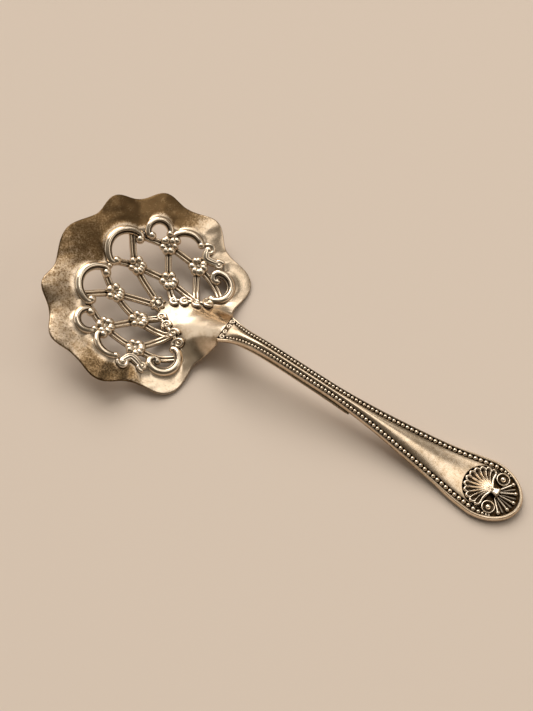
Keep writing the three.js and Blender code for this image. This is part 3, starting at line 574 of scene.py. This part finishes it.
def handleWidths(x):
    # from the middle to the outline and to the channel's outer and inner line; width of the channel's
    # walls, of the rounded edge and of the plain rim; size of the beads
    past = np.clip((x - endX) / endLength, 0, 1)
    half = np.where(x > endX, endWidth * np.sqrt(1 - past * past), stemWidth(x))  # the end is an ellipse
    size = beadSize(np.minimum(x, endX + 1.5))
    rim = stem["plainRim"] + (stem["rim"] - stem["plainRim"]) * smooth(0, 6, x - endX)
    outer = np.where(x > endX, half / (1 + rim / (endWidth - stem["plainRim"])),
                     np.minimum(beadLine(x) + size / 2 + stem["seam"], 0.93 * half))
    wide = np.minimum(size + 2 * stem["seam"], 0.9 * outer)
    wall = np.minimum(stem["wall"], 0.18 * wide)
    edge = np.minimum(stem["edge"], 0.5 * (half - outer))
    return half, outer, outer - wide, wall, edge, rim, size


def sunkShare(x, y, outer, inner, wall, ring):
    # 1 in the beads' channel and in the ground round the shell, roundels and rays, 0 on the raised metal
    ended = x > endX
    channel = smooth(0, 1, (y - inner) / wall) * smooth(0, 1, (outer - y) / wall) * (x < endX + 6)
    lean = np.arctan2(y, stem["shellX"] - x)
    shellEdge = stem["shellReach"] - stem["shellFall"] * (np.minimum(lean, 1.4) / np.radians(72)) ** 2 + 0.3
    ground = smooth(0.25, -0.05, np.hypot(x - stem["shellX"], y) - shellEdge) * smooth(1.5, 1.3, lean)
    ground = np.clip(ground + smooth(1.25, 1.45, lean), 0, 1) * (x > stem["groundX"])
    within = np.where(ended, smooth(1.02, 0.985, ring), smooth(0, 0.12, outer - y))
    sunk = np.maximum(channel, ground * within)
    return np.where(ended, sunk * within, sunk)


def handleTarnishAndShade(x, y, off, half, outer, inner, ring, sunk):
    # painted shade and oxide in all that is sunk; painted shade on the flanks of the field, behind the curls
    # at the neck, thin all over the neck, and along the inside of the plain edge; painted shade as a brown
    # layer at the neck and towards the end
    onField, lip = y < inner, (y - outer) / np.maximum(half - outer, 0.05)
    flank = 0.6 * smooth(0.6, 1.0, off) * smooth(104, 88, x) * smooth(51, 56, x)
    flank = np.maximum(flank, 0.55 * smooth(0.95, 0.05, inner - y) * smooth(92, 106, x)) * onField
    ground = smooth(51.5, 50.7, x) * smooth(0.1, -0.1, y - outer)
    dim = 0.5 * smooth(62, 52, x) * onField
    reach = 0.6 + 0.5 * smooth(112, 96, x)
    lip = np.where(x > endX, smooth(1.06, 1.0, ring), smooth(reach, reach - 0.5, lip) * (lip > 0))
    soot = np.max([sunk, flank, ground, dim, 0.85 * lip * smooth(50, 54, x)], axis=0)
    return soot, 0.3 * smooth(66, 54, x) * smooth(0, 0.3, off) + 0.24 * smooth(90, 104, x)


def handleBody():
    # Section, from the middle of the top to the middle of the back: crowned field, channel, plain edge,
    # round side, flat back. Channel and recess are taken off with soft walls; past the end of the stem
    # the round edge goes by the share of an ellipse, so that it turns the corner at the tip
    first, fine, tip = stem["rows"]
    x = np.concatenate([np.linspace(stem["startX"], stem["fineX"], first),
                        np.linspace(stem["fineX"], endX, fine)[1:],
                        endX + endLength * np.sin(np.radians(np.linspace(0, 89, tip)))[1:]])[:, None]
    half, outer, inner, wall, edge, rim, size = handleWidths(x)
    marks = [(0 * x, 34), (inner, 5), (inner + wall, 6), (outer - wall, 5), (outer, 8), (half - edge, 1)]
    y = np.hstack([a + (b - a) * np.linspace(0, 1, count, endpoint=False)
                   for (a, count), (b, _) in zip(marks, marks[1:])] + [half - edge])
    ended, over, low = x > endX, topAt(x), backAt(x)
    off = np.minimum(1, y / np.maximum(inner, 0.3))
    ring = np.hypot(np.maximum(x - endX, 0) / (endLength - rim), y / (endWidth - rim))
    sunk = sunkShare(x, y, outer, inner, wall, ring)
    fall = stem["sideShare"] * (over - low)  # the part of the thickness that the round side takes
    bend = np.linspace(0, np.pi / 2, 9)[1:]
    sideY = half - edge + edge * np.sin(bend)
    backY = half * np.array(stem["back"])

    def share(width):  # 1 on the outline of the end, 0 at the middle of its ellipse
        return np.minimum(1, np.hypot((x - endX) / endLength, width / endWidth))

    def rounded(width):  # quarter ellipse over the last bit before the outline
        near = np.clip(1 - (1 - share(width)) / stem["roundShare"], 0, 1)
        return fall * (1 - np.sqrt(1 - near * near))

    bulge = (1 - off ** 2) * crown(x) * smooth(endX + 1, endX - 1, x)
    depth = np.minimum(0.62 * size, stem["recess"])
    z = over + bulge * (1 - sunk) - depth * sunk - np.where(ended, rounded(y), 0)
    sideZ = over - np.where(ended, rounded(sideY), fall * (1 - np.cos(bend)))
    lifted = np.interp(np.where(ended, share(backY), stem["back"]), [0.8, 0.88, 0.94, 0.985, 1],
                       [0, 0.15, 0.4, 0.72, 1])
    backZ = low + (over - low - fall) * lifted
    soot, filmAndShade = handleTarnishAndShade(x, y, off, half, outer, inner, ring, sunk)
    soot = np.hstack([soot, np.zeros((len(x), len(stem["filmAndShade"])))])
    filmAndShade = np.hstack([filmAndShade, np.array(stem["filmAndShade"]) * (1 - 0.65 * smooth(110, 122, x))])
    y = np.hstack([y, sideY, backY])
    left = np.stack([np.broadcast_to(x, y.shape), y, np.hstack([z, sideZ, backZ])], -1)
    grid = capped(np.hstack([left, left[:, -2:0:-1] * [1, -1, 1]]))
    soot, filmAndShade = (np.hstack([v, v[:, -2:0:-1]]) for v in (soot, filmAndShade))
    soot, filmAndShade = (np.pad(v, ((1, 1), (0, 0)), mode="edge") for v in (soot, filmAndShade))
    return rolled(grid, soot=soot, stain=0.1, patina=filmAndShade)


tang = dict(
    startX=47.2, underX=49.4, endX=88.0, drop=1.2, slope=0.55, half=2.0, flare=0.5, deep=1.05, thinner=0.35,
    rows=120, around=24)


def tangBody():
    # A strip under the stem: a rounded square whose top follows the heel and then the stem's back,
    # wider and thinner by share of its length, with a step at its end
    x = np.linspace(tang["startX"], tang["endX"], tang["rows"])[:, None]
    heel = neckZ - tang["drop"] - tang["slope"] * (tang["underX"] - x)
    top = np.where(x < tang["underX"], heel, backAt(x) + 0.05)
    share = (x - tang["startX"]) / (tang["endX"] - tang["startX"])
    deep = (tang["deep"] - tang["thinner"] * share) * smooth(1.0, 0.97, share) + 0.02
    across, up = squared(tang["around"]).T
    y = (tang["half"] + tang["flare"] * share ** 3) * across
    grid = np.stack([np.broadcast_to(x, y.shape), y, top + deep * (up - 1) / 2], -1)
    return rolled(capped(grid), stain=0.2, patina=0.15)


makePiece("bowl", "sheet", [bowlSheet(), tangBody()], "silver_satin")
print("bowl made")
makePiece("handle", "body", [handleBody()], "silver_satin")
print("handle made")


# Border scrolls: wires that follow the edge of the pierced field and end in hooks round a ball

scrolls = dict(
    scroll_far=("far", 1.22, ((2.0, 2.3), (1.8, 2.0)), (1.3, 1.25), [((-11.2, 11.3), 1.0)]),
    scroll_small=("small", 1.1, ((1.7, 1.7), (0.6, 0.6)), (1.2, 1.1), []),
    scroll_side=("side", 1.05, ((2.4, 2.4), (0, 0)), (1.15, 0), [((2.9, 20), 1.0)]),
    scroll_root=("root", 1.2, ((3.4, 4.4), (1.2, 1.4)), (0.85, 0.9), []))
# line, radius, turn and length of both hooks, radius of the balls in them, further balls
cove = dict(at=0.56, wide=0.17, deep=0.26)


def scrollShells(sign, line, radius, hooks, tips, further):
    # wire along an arc with hooked ends, thickest at its middle: a round section less a groove that leaves
    # a thin lip on the inner side; a ball in each hook
    plan = withHook(arcThrough(*field[line], 60), *hooks[1])
    plan = evenly(withHook(plan[::-1], *hooks[0])[::-1], 110)
    share = shares(len(plan))
    thick = radius * (0.78 + 0.22 * np.sin(np.pi * np.clip(share, 0.02, 0.98)) ** 0.6)
    inward, height = (circle(40) * [sign, 1]).T
    groove = np.exp(-((inward - cove["at"]) / cove["wide"]) ** 2) * (height > 0)
    section = circle(40) * (1 - cove["deep"] * groove)[:, None]
    grid = dishTube(mirrored(plan, sign), 0.2, thick, section=section)
    # painted shade and oxide in the groove; painted shade under the lip and on the tube's underside
    inGroove = 0.97 * smooth(0.22, 0.4, inward) * smooth(0.84, 0.74, inward) * (height > 0)
    underLip = smooth(-0.05, -0.3, height) * smooth(-0.2, 0.3, inward)
    soot = np.max([inGroove, underLip, smooth(-0.5, -0.75, height)], axis=0)
    balls = [(plan[0], tips[0]), (plan[-1], tips[1]), *further]
    return [rolled(grid, soot=soot[None])] + [
        ballShell(bowlToSpoon(onDish(mirrored(spot, sign), 0.3)), size) for spot, size in balls if size > 0]


for side, sign in sides.items():
    for name, s in scrolls.items():
        makePiece(f"{name}_{side}", "wire", scrollShells(sign, *s))
print("scrolls made")

# Curls: centre, radius, turns, first bearing, sense
leaf = dict(
    wire=0.78, curlWire=0.8, curls=(((5.3, 20.2), 1.45, 1.25, 2.6, -1), ((10.0, 18.2), 1.3, 1.2, 1.2, 1)))
drop = dict(
    wire=0.54, strandWire=0.36, strand=((3.4, 5.7), (4.3, 4.9), (5.3, 4.2), (6.8, 3.7), (8.2, 3.9)),
    curls=(((13.9, 7.3), 1.42, 1.3, 2.4, 1), ((11.2, 5.6), 1.25, 1.25, -0.6, -1),
           ((8.5, 4.2), 1.2, 1.25, 2.0, 1), ((6.0, 3.0), 1.12, 1.2, -0.4, -1)))
curl = dict(closing=0.78, thin=0.3, lift=0.5, eye=1.05, rows=64)


def volute(curlPlan, wire, sign):  # spiral that closes on its eye, the wire thinner towards the eye
    plan = mirrored(spiral(*curlPlan, curl["closing"], curl["rows"]), sign)
    thick = wire * (1 - curl["thin"] * shares(curl["rows"]))
    grid = dishTube(plan, curl["lift"], thick, around=14)
    eye = bowlToSpoon(onDish(mirrored(curlPlan[0], sign), curl["lift"] + 0.1))
    return [rolled(grid), ballShell(eye, wire * curl["eye"])]


def leafShells(sign):
    # a wire in an S, thickest at its middle, an oval with two grooves, and a curl at each end
    plan = mirrored(evenly(curveThrough(field["leaf"], 60), 60), sign)
    across, up = circle(40).T
    reeds = 1 - 0.22 * np.exp(-((np.abs(across) - 0.38) / 0.13) ** 2) * (up > 0)
    section = circle(40) * [1.25, 1] * reeds[:, None]
    thick = leaf["wire"] * (0.9 + 0.35 * np.sin(np.pi * shares(len(plan))))
    grid = dishTube(plan, 0.4, thick, section=section)
    # painted shade and oxide in the grooves between the reeds
    shells = [rolled(grid, soot=smooth(0.93, 0.8, reeds)[None])]
    for curlPlan in leaf["curls"]:
        shells += volute(curlPlan, leaf["wire"] * leaf["curlWire"], sign)
    return shells


def dropShells(sign):  # a wire on the edge of the heel's drop, a thin strand beside it, a row of curls
    edge = mirrored(evenly(curveThrough(field["drop"], 60), 70), sign)
    strand = mirrored(evenly(curveThrough(drop["strand"], 40), 40), sign)
    shells = [rolled(dishTube(edge, 0.2, drop["wire"])),
              rolled(dishTube(strand, 0.25, drop["strandWire"], around=14))]
    for curlPlan in drop["curls"]:
        shells += volute(curlPlan, drop["wire"], sign)
    return shells


for side, sign in sides.items():
    makePiece(f"scroll_leaf_{side}", "wire", leafShells(sign))
    makePiece(f"scroll_drop_{side}", "curls", dropShells(sign))
print("leaf and drop scrolls made")

rosette = dict(x=3.0, reach=2.05, petals=7, ring=0.47, ringWide=0.1, ringDeep=0.28, rise=1.15)
cuspBead = dict(radius=0.85, lift=0.1)


def rosetteShell():
    # dome over a disc: height = round cap, notched into petals, with a ring groove round the centre
    rho = shares(26)[:, None]
    turn = np.linspace(0, 2 * np.pi, 84, endpoint=False)[None]
    wave, base = np.cos(rosette["petals"] * turn), dishHeight(rosette["x"], 0.0)
    groove = np.exp(-((rho - rosette["ring"]) / rosette["ringWide"]) ** 2)
    cap = np.sqrt(np.maximum(0, 1 - (0.985 * rho) ** 2)) - rosette["ringDeep"] * groove
    cap = cap - 0.12 * (1 - wave) * smooth(0.5, 0.8, rho)
    reach = rosette["reach"] * rho * (1 + 0.1 * wave * smooth(0.4, 0.8, rho))
    top = np.stack([rosette["x"] + reach * np.cos(turn), reach * np.sin(turn),
                    base + 0.3 + rosette["rise"] * cap], -1)
    foot = top[-1:].copy()
    foot[..., 2] = base - 0.5
    end = foot.mean(1, keepdims=True) * np.ones((1, foot.shape[1], 1))
    # painted shade and oxide in the ring groove; painted shade on the foot and underside
    soot = np.concatenate([groove * np.ones_like(turn), np.ones((2, turn.shape[1]))])
    return rolled(bowlToSpoon(np.concatenate([top, foot, end])), soot=soot)


makePiece("drop_rosette", "boss", [rosetteShell()])
cuspSpot = bowlToSpoon(onDish(field["cusp"], cuspBead["lift"]))
makePiece("cusp_bead", "ball", [ballShell(cuspSpot, cuspBead["radius"])])

# Trellis: bars of two reeds, and a knot of paired balls over each crossing

knots = np.array(field["knots"], float)
trellis = dict(
    width=1.9, height=1.25, sink=0.45, ball=1.02, pair=1.74, spread=1.36, lift=0.45, core=1.1, coreLift=0.2,
    vary=(0.07, 0.06, 0.05))  # of size, place, height
bars = dict(
    bar_inner_long=[(-14, 1.6), knots[1], knots[2], (8.9, 6.7), (11.1, 5.8)],
    bar_outer_long=[(-12.3, 12.1), knots[0], knots[3], (12, 13.3), (16.1, 10.4)],
    bar_far_cross=[(-13.6, 10.9), knots[1], (1.5, 0.9)],
    bar_mid_cross=[(-5.7, 18), knots[0], knots[2], (5.6, 3.4)],
    bar_side_cross=[(5.7, 18.1), knots[3], (10.2, 7.6), (11.3, 5.7)])
arms = [[(-12.3, 12.1), knots[3], (-5.7, 18), knots[2]], [(-14, 1.6), knots[2], (-13.6, 10.9), (1.5, 0.9)],
        [knots[1], (8.9, 6.7), knots[0], (5.8, 3.2)],
        [knots[0], (12, 13.3), (5.7, 18.1), (10.2, 7.6)]]  # where the four arms of each knot lead


def reeded():  # two half rounds side by side over a flat foot, as (across, up), width and height 1
    turn = np.linspace(np.pi, 0, 11)
    reed = np.stack([0.25 + 0.25 * np.cos(turn), 0.08 + 0.42 * np.sin(turn)], -1)
    right = np.concatenate([reed[1:], [[0.48, -0.25], [0.38, -0.44], [0.2, -0.5]]])
    left = right[::-1] * [-1, 1]
    return np.concatenate([right, left, [[0.0, 0.17]]])[::-1]


def barShell(spots, sign):  # the reeded section along a line on the dish, painted shade and oxide in its groove, painted shade below
    plan = mirrored(evenly(curveThrough(spots, 120), 100), sign)
    section = reeded() * [trellis["width"], trellis["height"]]
    grid = dishTube(plan, -trellis["sink"], 1.0, section=section)
    across, up = section.T
    soot = 0.95 * np.maximum(smooth(0.26, -0.04, up), smooth(0.12, 0.02, np.abs(across)))
    off = np.linalg.norm(plan[:, None] - mirrored(knots, sign), axis=-1).min(1)
    near = np.pad(0.75 * smooth(3.1, 2.4, off), len(capBend), mode="edge")  # painted shade and oxide gather round the knots
    return rolled(grid, soot=np.maximum(soot[None], near[:, None]))


def knotShells(centre, neighbours, sign, rng):
    # on each arm two uneven balls side by side, drawn out along the arm; a flat core between the arms
    shells = []
    normal = dishNormal(mirrored(centre, sign))
    base = onDish(mirrored(centre, sign), 0)
    sizeVary, alongVary, liftVary = trellis["vary"]
    for spot in neighbours:
        ahead = np.array([*mirrored(spot - centre, sign), 0.0])
        ahead = unit(ahead - normal * np.dot(ahead, normal))
        aside = np.cross(normal, ahead)
        for way in (-0.5, 0.5):
            size = trellis["ball"] * (1 + sizeVary * rng.standard_normal())
            at = base + ahead * (trellis["spread"] + alongVary * rng.standard_normal())
            lift = trellis["lift"] + liftVary * rng.standard_normal()
            at = at + aside * way * trellis["pair"] + normal * lift
            grid, height = ball(at, size, normal, 0.95)
            grid = grid + ((grid - at) @ ahead)[..., None] * ahead * 0.15
            # painted shade below each ball's waist
            shells.append(rolled(bowlToSpoon(grid), soot=smooth(-0.25, -0.75, height)))
    # painted shade on the flat core between the arms
    core = ball(base + normal * trellis["coreLift"], trellis["core"], normal, 0.55)[0]
    return shells + [rolled(bowlToSpoon(core), soot=0.45)]


rng = np.random.default_rng(11)
for side, sign in sides.items():
    for name, spots in bars.items():
        makePiece(f"{name}_{side}", "reed", [barShell(spots, sign)], "silver_satin")
    for at, centre in enumerate(knots):
        makePiece(f"knot_{at + 1}_{side}", "balls", knotShells(centre, arms[at], sign, rng))
print("trellis made")


# Bead borders: graduated balls in the channel, and curls at the neck

neckCurls = dict(
    plans=(((50.2, 0.85), 0.62, 1.15, 0.5, 1), ((50.35, 2.45), 0.72, 1.15, -2.2, -1)), closing=0.75,
    rows=48, wire=0.24, lift=0.02)


def beadShells(sign):  # balls one after the other along the row, each step a bead's size times the pitch
    path = beadPath()
    run = lengthsAlong(path)
    shells, at = [], stem["beadStart"]
    while at < run[-1]:
        x, y = (np.interp(at, run, path[:, k]) for k in (0, 1))
        size = float(beadSize(x))
        shells.append(ballShell((x, sign * y, float(topAt(x)) - 0.2 * size), 0.5 * size, rows=7, cols=12))
        at += size * stem["pitch"]
    for curlPlan in neckCurls["plans"]:
        plan = mirrored(spiral(*curlPlan, neckCurls["closing"], neckCurls["rows"]), sign)
        height = topAt(np.maximum(plan[:, :1], stem["startX"])) + neckCurls["lift"]
        grid = tube(np.hstack([plan, height]), neckCurls["wire"], upright, around=12)
        # the curls at the neck are dimmed with painted shade and a brown layer
        shells.append(rolled(grid, soot=0.3, patina=0.2))
    return shells


# Shell: ribs fan from the hinge and bend outwards, with a rolled edge and a hinge knob

fan = dict(
    x=stem["shellX"], reach=stem["shellReach"], fall=stem["shellFall"], spread=np.radians(74), ribs=11,
    floor=endTop - 0.45, foot=0.25, bend=0.46, slope=1.05, line=0.22, roll=0.38, hollow=0.4, knobFrom=-0.9,
    knobLength=2.1, knobHeight=0.85)


def shellShells():
    # flutes between raised lines; height = slope from hinge to edge + lines + rolled edge - hollows
    share = np.linspace(0.02, 1, 48)[None]
    across = np.linspace(-1, 1, fan["ribs"] * 16 + 1)[:, None]
    middle = np.abs(np.sin(np.pi * (across + 1) / 2 * fan["ribs"]))  # 0 on a raised line, 1 in mid flute
    angle = fan["spread"] * across * (1 - fan["bend"] * (1 - share) ** 0.9)
    scallop = 1 + 0.1 * (middle ** 0.7 - 0.5) * smooth(0.6, 1, share)
    reach = (fan["reach"] - fan["fall"] * across ** 2) * share * scallop
    line = np.exp(-(middle / 0.42) ** 2) * smooth(0.05, 0.3, share)
    roll = smooth(0.86, 0.94, share) * middle ** 0.5 * smooth(1.0, 0.97, share)
    hollow = middle ** 1.2 * smooth(0.38, 0.66, share) * smooth(0.95, 0.86, share)
    lift = 0.6 + fan["slope"] * (1 - share) ** 1.2 + 0.1 * middle * smooth(0.45, 0.2, share)
    lift = lift + fan["line"] * line + fan["roll"] * roll - fan["hollow"] * hollow
    top = np.stack([fan["x"] - reach * np.cos(angle), reach * np.sin(angle), fan["floor"] + lift], -1)
    base = top[:, [-1, 0]].copy()
    base[..., 2] = fan["floor"] - fan["foot"]
    # painted shade and oxide in the hollows, on the raised lines at the rolled edge, down the middle of the
    # flutes and all over the underside
    crease = 0.6 * (1 - middle) ** 6 * smooth(0.9, 1, share)
    seam = 0.55 * smooth(0.8, 0.97, middle) * smooth(0.22, 0.42, share) * smooth(0.6, 0.45, share)
    soot = np.clip(1.2 * hollow ** 1.3 + crease + seam, 0, 1)
    soot = np.pad(np.hstack([soot, np.ones((len(soot), 2))]), ((1, 1), (0, 0)), mode="edge")
    run = shares(16)
    spine = np.stack([fan["x"] + fan["knobFrom"] + fan["knobLength"] * run, 0 * run,
                      fan["floor"] + fan["knobHeight"] + 0.25 * run], -1)
    girth = (0.68 + 0.7 * run ** 1.5) * (1 - 0.12 * smooth(0.9, 1, run))
    knob = tube(spine, girth, upright, section=squared(28) * [1, 0.8], blunt=0.25)
    return [rolled(capped(np.hstack([top, base])), soot=soot), rolled(knob, soot=0.3)]


roundel = dict(
    x=fan["x"] + 0.6, y=endWidth - 3.8, scale=1.12, rows=43, around=48,
    profile=[(0, 0.95, 0), (0.22, 0.92, 0), (0.44, 0.8, 0), (0.6, 0.56, 0.15), (0.7, 0.26, 0.9),
             (0.78, 0.14, 1), (0.96, 0.14, 1), (1.12, 0.26, 0.9), (1.22, 0.56, 0.3), (1.34, 0.78, 0),
             (1.46, 0.74, 0), (1.56, 0.52, 0.1), (1.62, 0.25, 0.5), (1.64, -0.3, 1),
             (0, -0.3, 1)])  # radius, height, painted shade and oxide


def roundelShell(sign):  # turned profile: boss, groove, ring
    profile = np.array(roundel["profile"], float)
    run, fine = shares(len(profile)), shares(roundel["rows"])
    r, z, soot = (np.interp(fine, run, v)[:, None] for v in profile.T)
    plan = roundel["scale"] * r[..., None] * circle(roundel["around"]) + [roundel["x"], sign * roundel["y"]]
    height = np.broadcast_to(fan["floor"] + z, plan.shape[:2])
    return rolled(np.concatenate([plan, height[..., None]], -1), soot=soot)


rays = dict(
    step=np.radians(26), ball=0.5, ballLift=0.1,
    long=(5, (1.6, 5.45), (0.2, 0.3), (0.19, 0.34), 30, 12, 0.3),
    short=(4, (2.0, 5.5), (-0.02, -0.02), (0.12, 0.34), 20, 10, 0.75))
# count; distance, height and radius at both ends; points along and around; painted shade and oxide


def rayShells():  # straight wires that swell outwards, the long ones to a ball, short ones between them
    shells = []
    for kind in ("long", "short"):
        count, *spans, rows, around, soot = rays[kind]
        run, rise, wire = (np.linspace(*span, rows) for span in spans)
        for k in range(count):
            turn = rays["step"] * (k - (count - 1) / 2)
            line = np.stack([fan["x"] + run * np.cos(turn), run * np.sin(turn), fan["floor"] + rise], -1)
            shells.append(rolled(tube(line, wire, upright, around=around), soot=soot))
            if kind == "long":
                shells.append(ballShell(line[-1] + [0, 0, rays["ballLift"]], rays["ball"]))
    return shells


for side, sign in sides.items():
    makePiece(f"bead_border_{side}", "beads", beadShells(sign))
    makePiece(f"roundel_{side}", "ring", [roundelShell(sign)])
makePiece("shell", "fan", shellShells())
makePiece("ray_spray", "wires", rayShells())
print("handle ornament made")

# Stage: pale floor, wide window light from the far left, four soft lights, camera of the photograph

studio = dict(
    floor=(0.715, 0.615, 0.53), floorRough=0.5, floorGloss=0.0, floorZ=-2e-5, floorSize=6.0,
    strip=(0.517, 0.42, 0.325), stripRange=(0.1, 0.4), roomBright=(0.27, 0.243, 0.205),
    roomDark=(0.10, 0.085, 0.065), roomTowards=(-0.55, 0.74, 0.37), roomRange=(-0.35, 0.45))
window = ((-0.62, 0.5, 0.78), 2.25, (1.0, 0.96, 0.90), np.radians(48))  # direction, power, colour, angle
lights = dict(
    ceiling=((0.17, 0.35, 1.14), 1.25, (1.0, 0.95, 0.88), (0.5, 0.5)),
    side=((-0.97, -0.14, 0.5), 1.5, (1.0, 0.96, 0.90), (1.3, 0.5)),
    back=((-0.05, 0.85, 0.85), 0.9, (1.0, 0.95, 0.88), (0.5, 0.4)),
    wall=((0.8, 0.6, 0.65), 1.1, (1.0, 0.94, 0.86), (0.7, 0.5)))  # place, power, colour, size
lens = dict(
    turn=np.radians(32.01), dip=np.radians(62.13), eye=(133.67, -114.43, 263.03), focal=1122.6, picture=711,
    sensor=36, clip=0.01)  # focal length and picture in pixels


def floorPlane():
    far, corners = studio["floorSize"], ((-1, -1), (1, -1), (1, 1), (-1, 1))
    mesh = bpy.data.meshes.new("floor")
    mesh.from_pydata([(far * x, far * y, studio["floorZ"]) for x, y in corners], [], [range(4)])
    material = bpy.data.materials.new("pale_floor")
    material.use_nodes = True
    shader = material.node_tree.nodes["Principled BSDF"]
    shader.inputs["Base Color"].default_value = (*studio["floor"], 1)
    shader.inputs["Roughness"].default_value = studio["floorRough"]
    shader.inputs["Specular IOR Level"].default_value = studio["floorGloss"]
    mesh.materials.append(material)
    floor = added("floor", mesh)


def placed(name, data, right, up, back, at):  # object with these axes, at a point of the frame
    thing = added(name, data)
    thing.matrix_world = Matrix([[right[k], up[k], back[k], at[k]] for k in range(3)] + [[0, 0, 0, 1]])
    return thing


def lamp(name, kind, at, power, colour, wide):  # turned to the middle of the object
    light = bpy.data.lights.new(name, kind)
    light.energy, light.color = power, colour
    if kind == "SUN":
        light.angle = wide
    else:
        light.shape = "RECTANGLE"
        light.size, light.size_y = wide
    back = unit(np.array(at))
    right = unit(np.cross(upright, back))
    placed(name, light, right, np.cross(back, right), back, at)


def photographCamera():
    right = np.array([np.cos(lens["turn"]), np.sin(lens["turn"]), 0])
    level = np.array([-np.sin(lens["turn"]), np.cos(lens["turn"]), 0])
    ahead = np.cos(lens["dip"]) * level - np.sin(lens["dip"]) * np.array(upright)
    data = bpy.data.cameras.new("camera")
    data.sensor_width = lens["sensor"]
    data.lens = lens["focal"] * lens["sensor"] / lens["picture"]
    data.clip_start = lens["clip"]
    up, eye = np.cross(right, ahead), toFrame(lens["eye"])
    bpy.context.scene.camera = placed("camera", data, right, up, -ahead, eye)


def room():  # pale towards the window, darker where the photographer stands, a pale strip above the horizon
    world = bpy.data.worlds.new("room")
    world.use_nodes = True
    nodes, link, _, ranged, tinted = nodeTools(world.node_tree)
    direction = nodes.new("ShaderNodeTexCoord").outputs["Generated"]
    facing = nodes.new("ShaderNodeVectorMath")
    facing.operation = "DOT_PRODUCT"
    facing.inputs[1].default_value = studio["roomTowards"]
    link(direction, facing.inputs[0])
    level = nodes.new("ShaderNodeSeparateXYZ")
    link(direction, level.inputs["Vector"])
    walls = ranged(facing.outputs["Value"], *studio["roomRange"], kind="SMOOTHSTEP")
    walls = tinted(walls, studio["roomDark"], studio["roomBright"])
    above = ranged(level.outputs["Z"], *studio["stripRange"], kind="SMOOTHSTEP")
    link(tinted(above, studio["strip"], walls), nodes["Background"].inputs["Color"])
    bpy.context.scene.world = world


floorPlane()
lamp("window", "SUN", *window)
for name, s in lights.items():
    lamp(name, "AREA", *s)
photographCamera()
room()
bpy.context.scene.view_settings.view_transform = "Standard"
print("stage set")
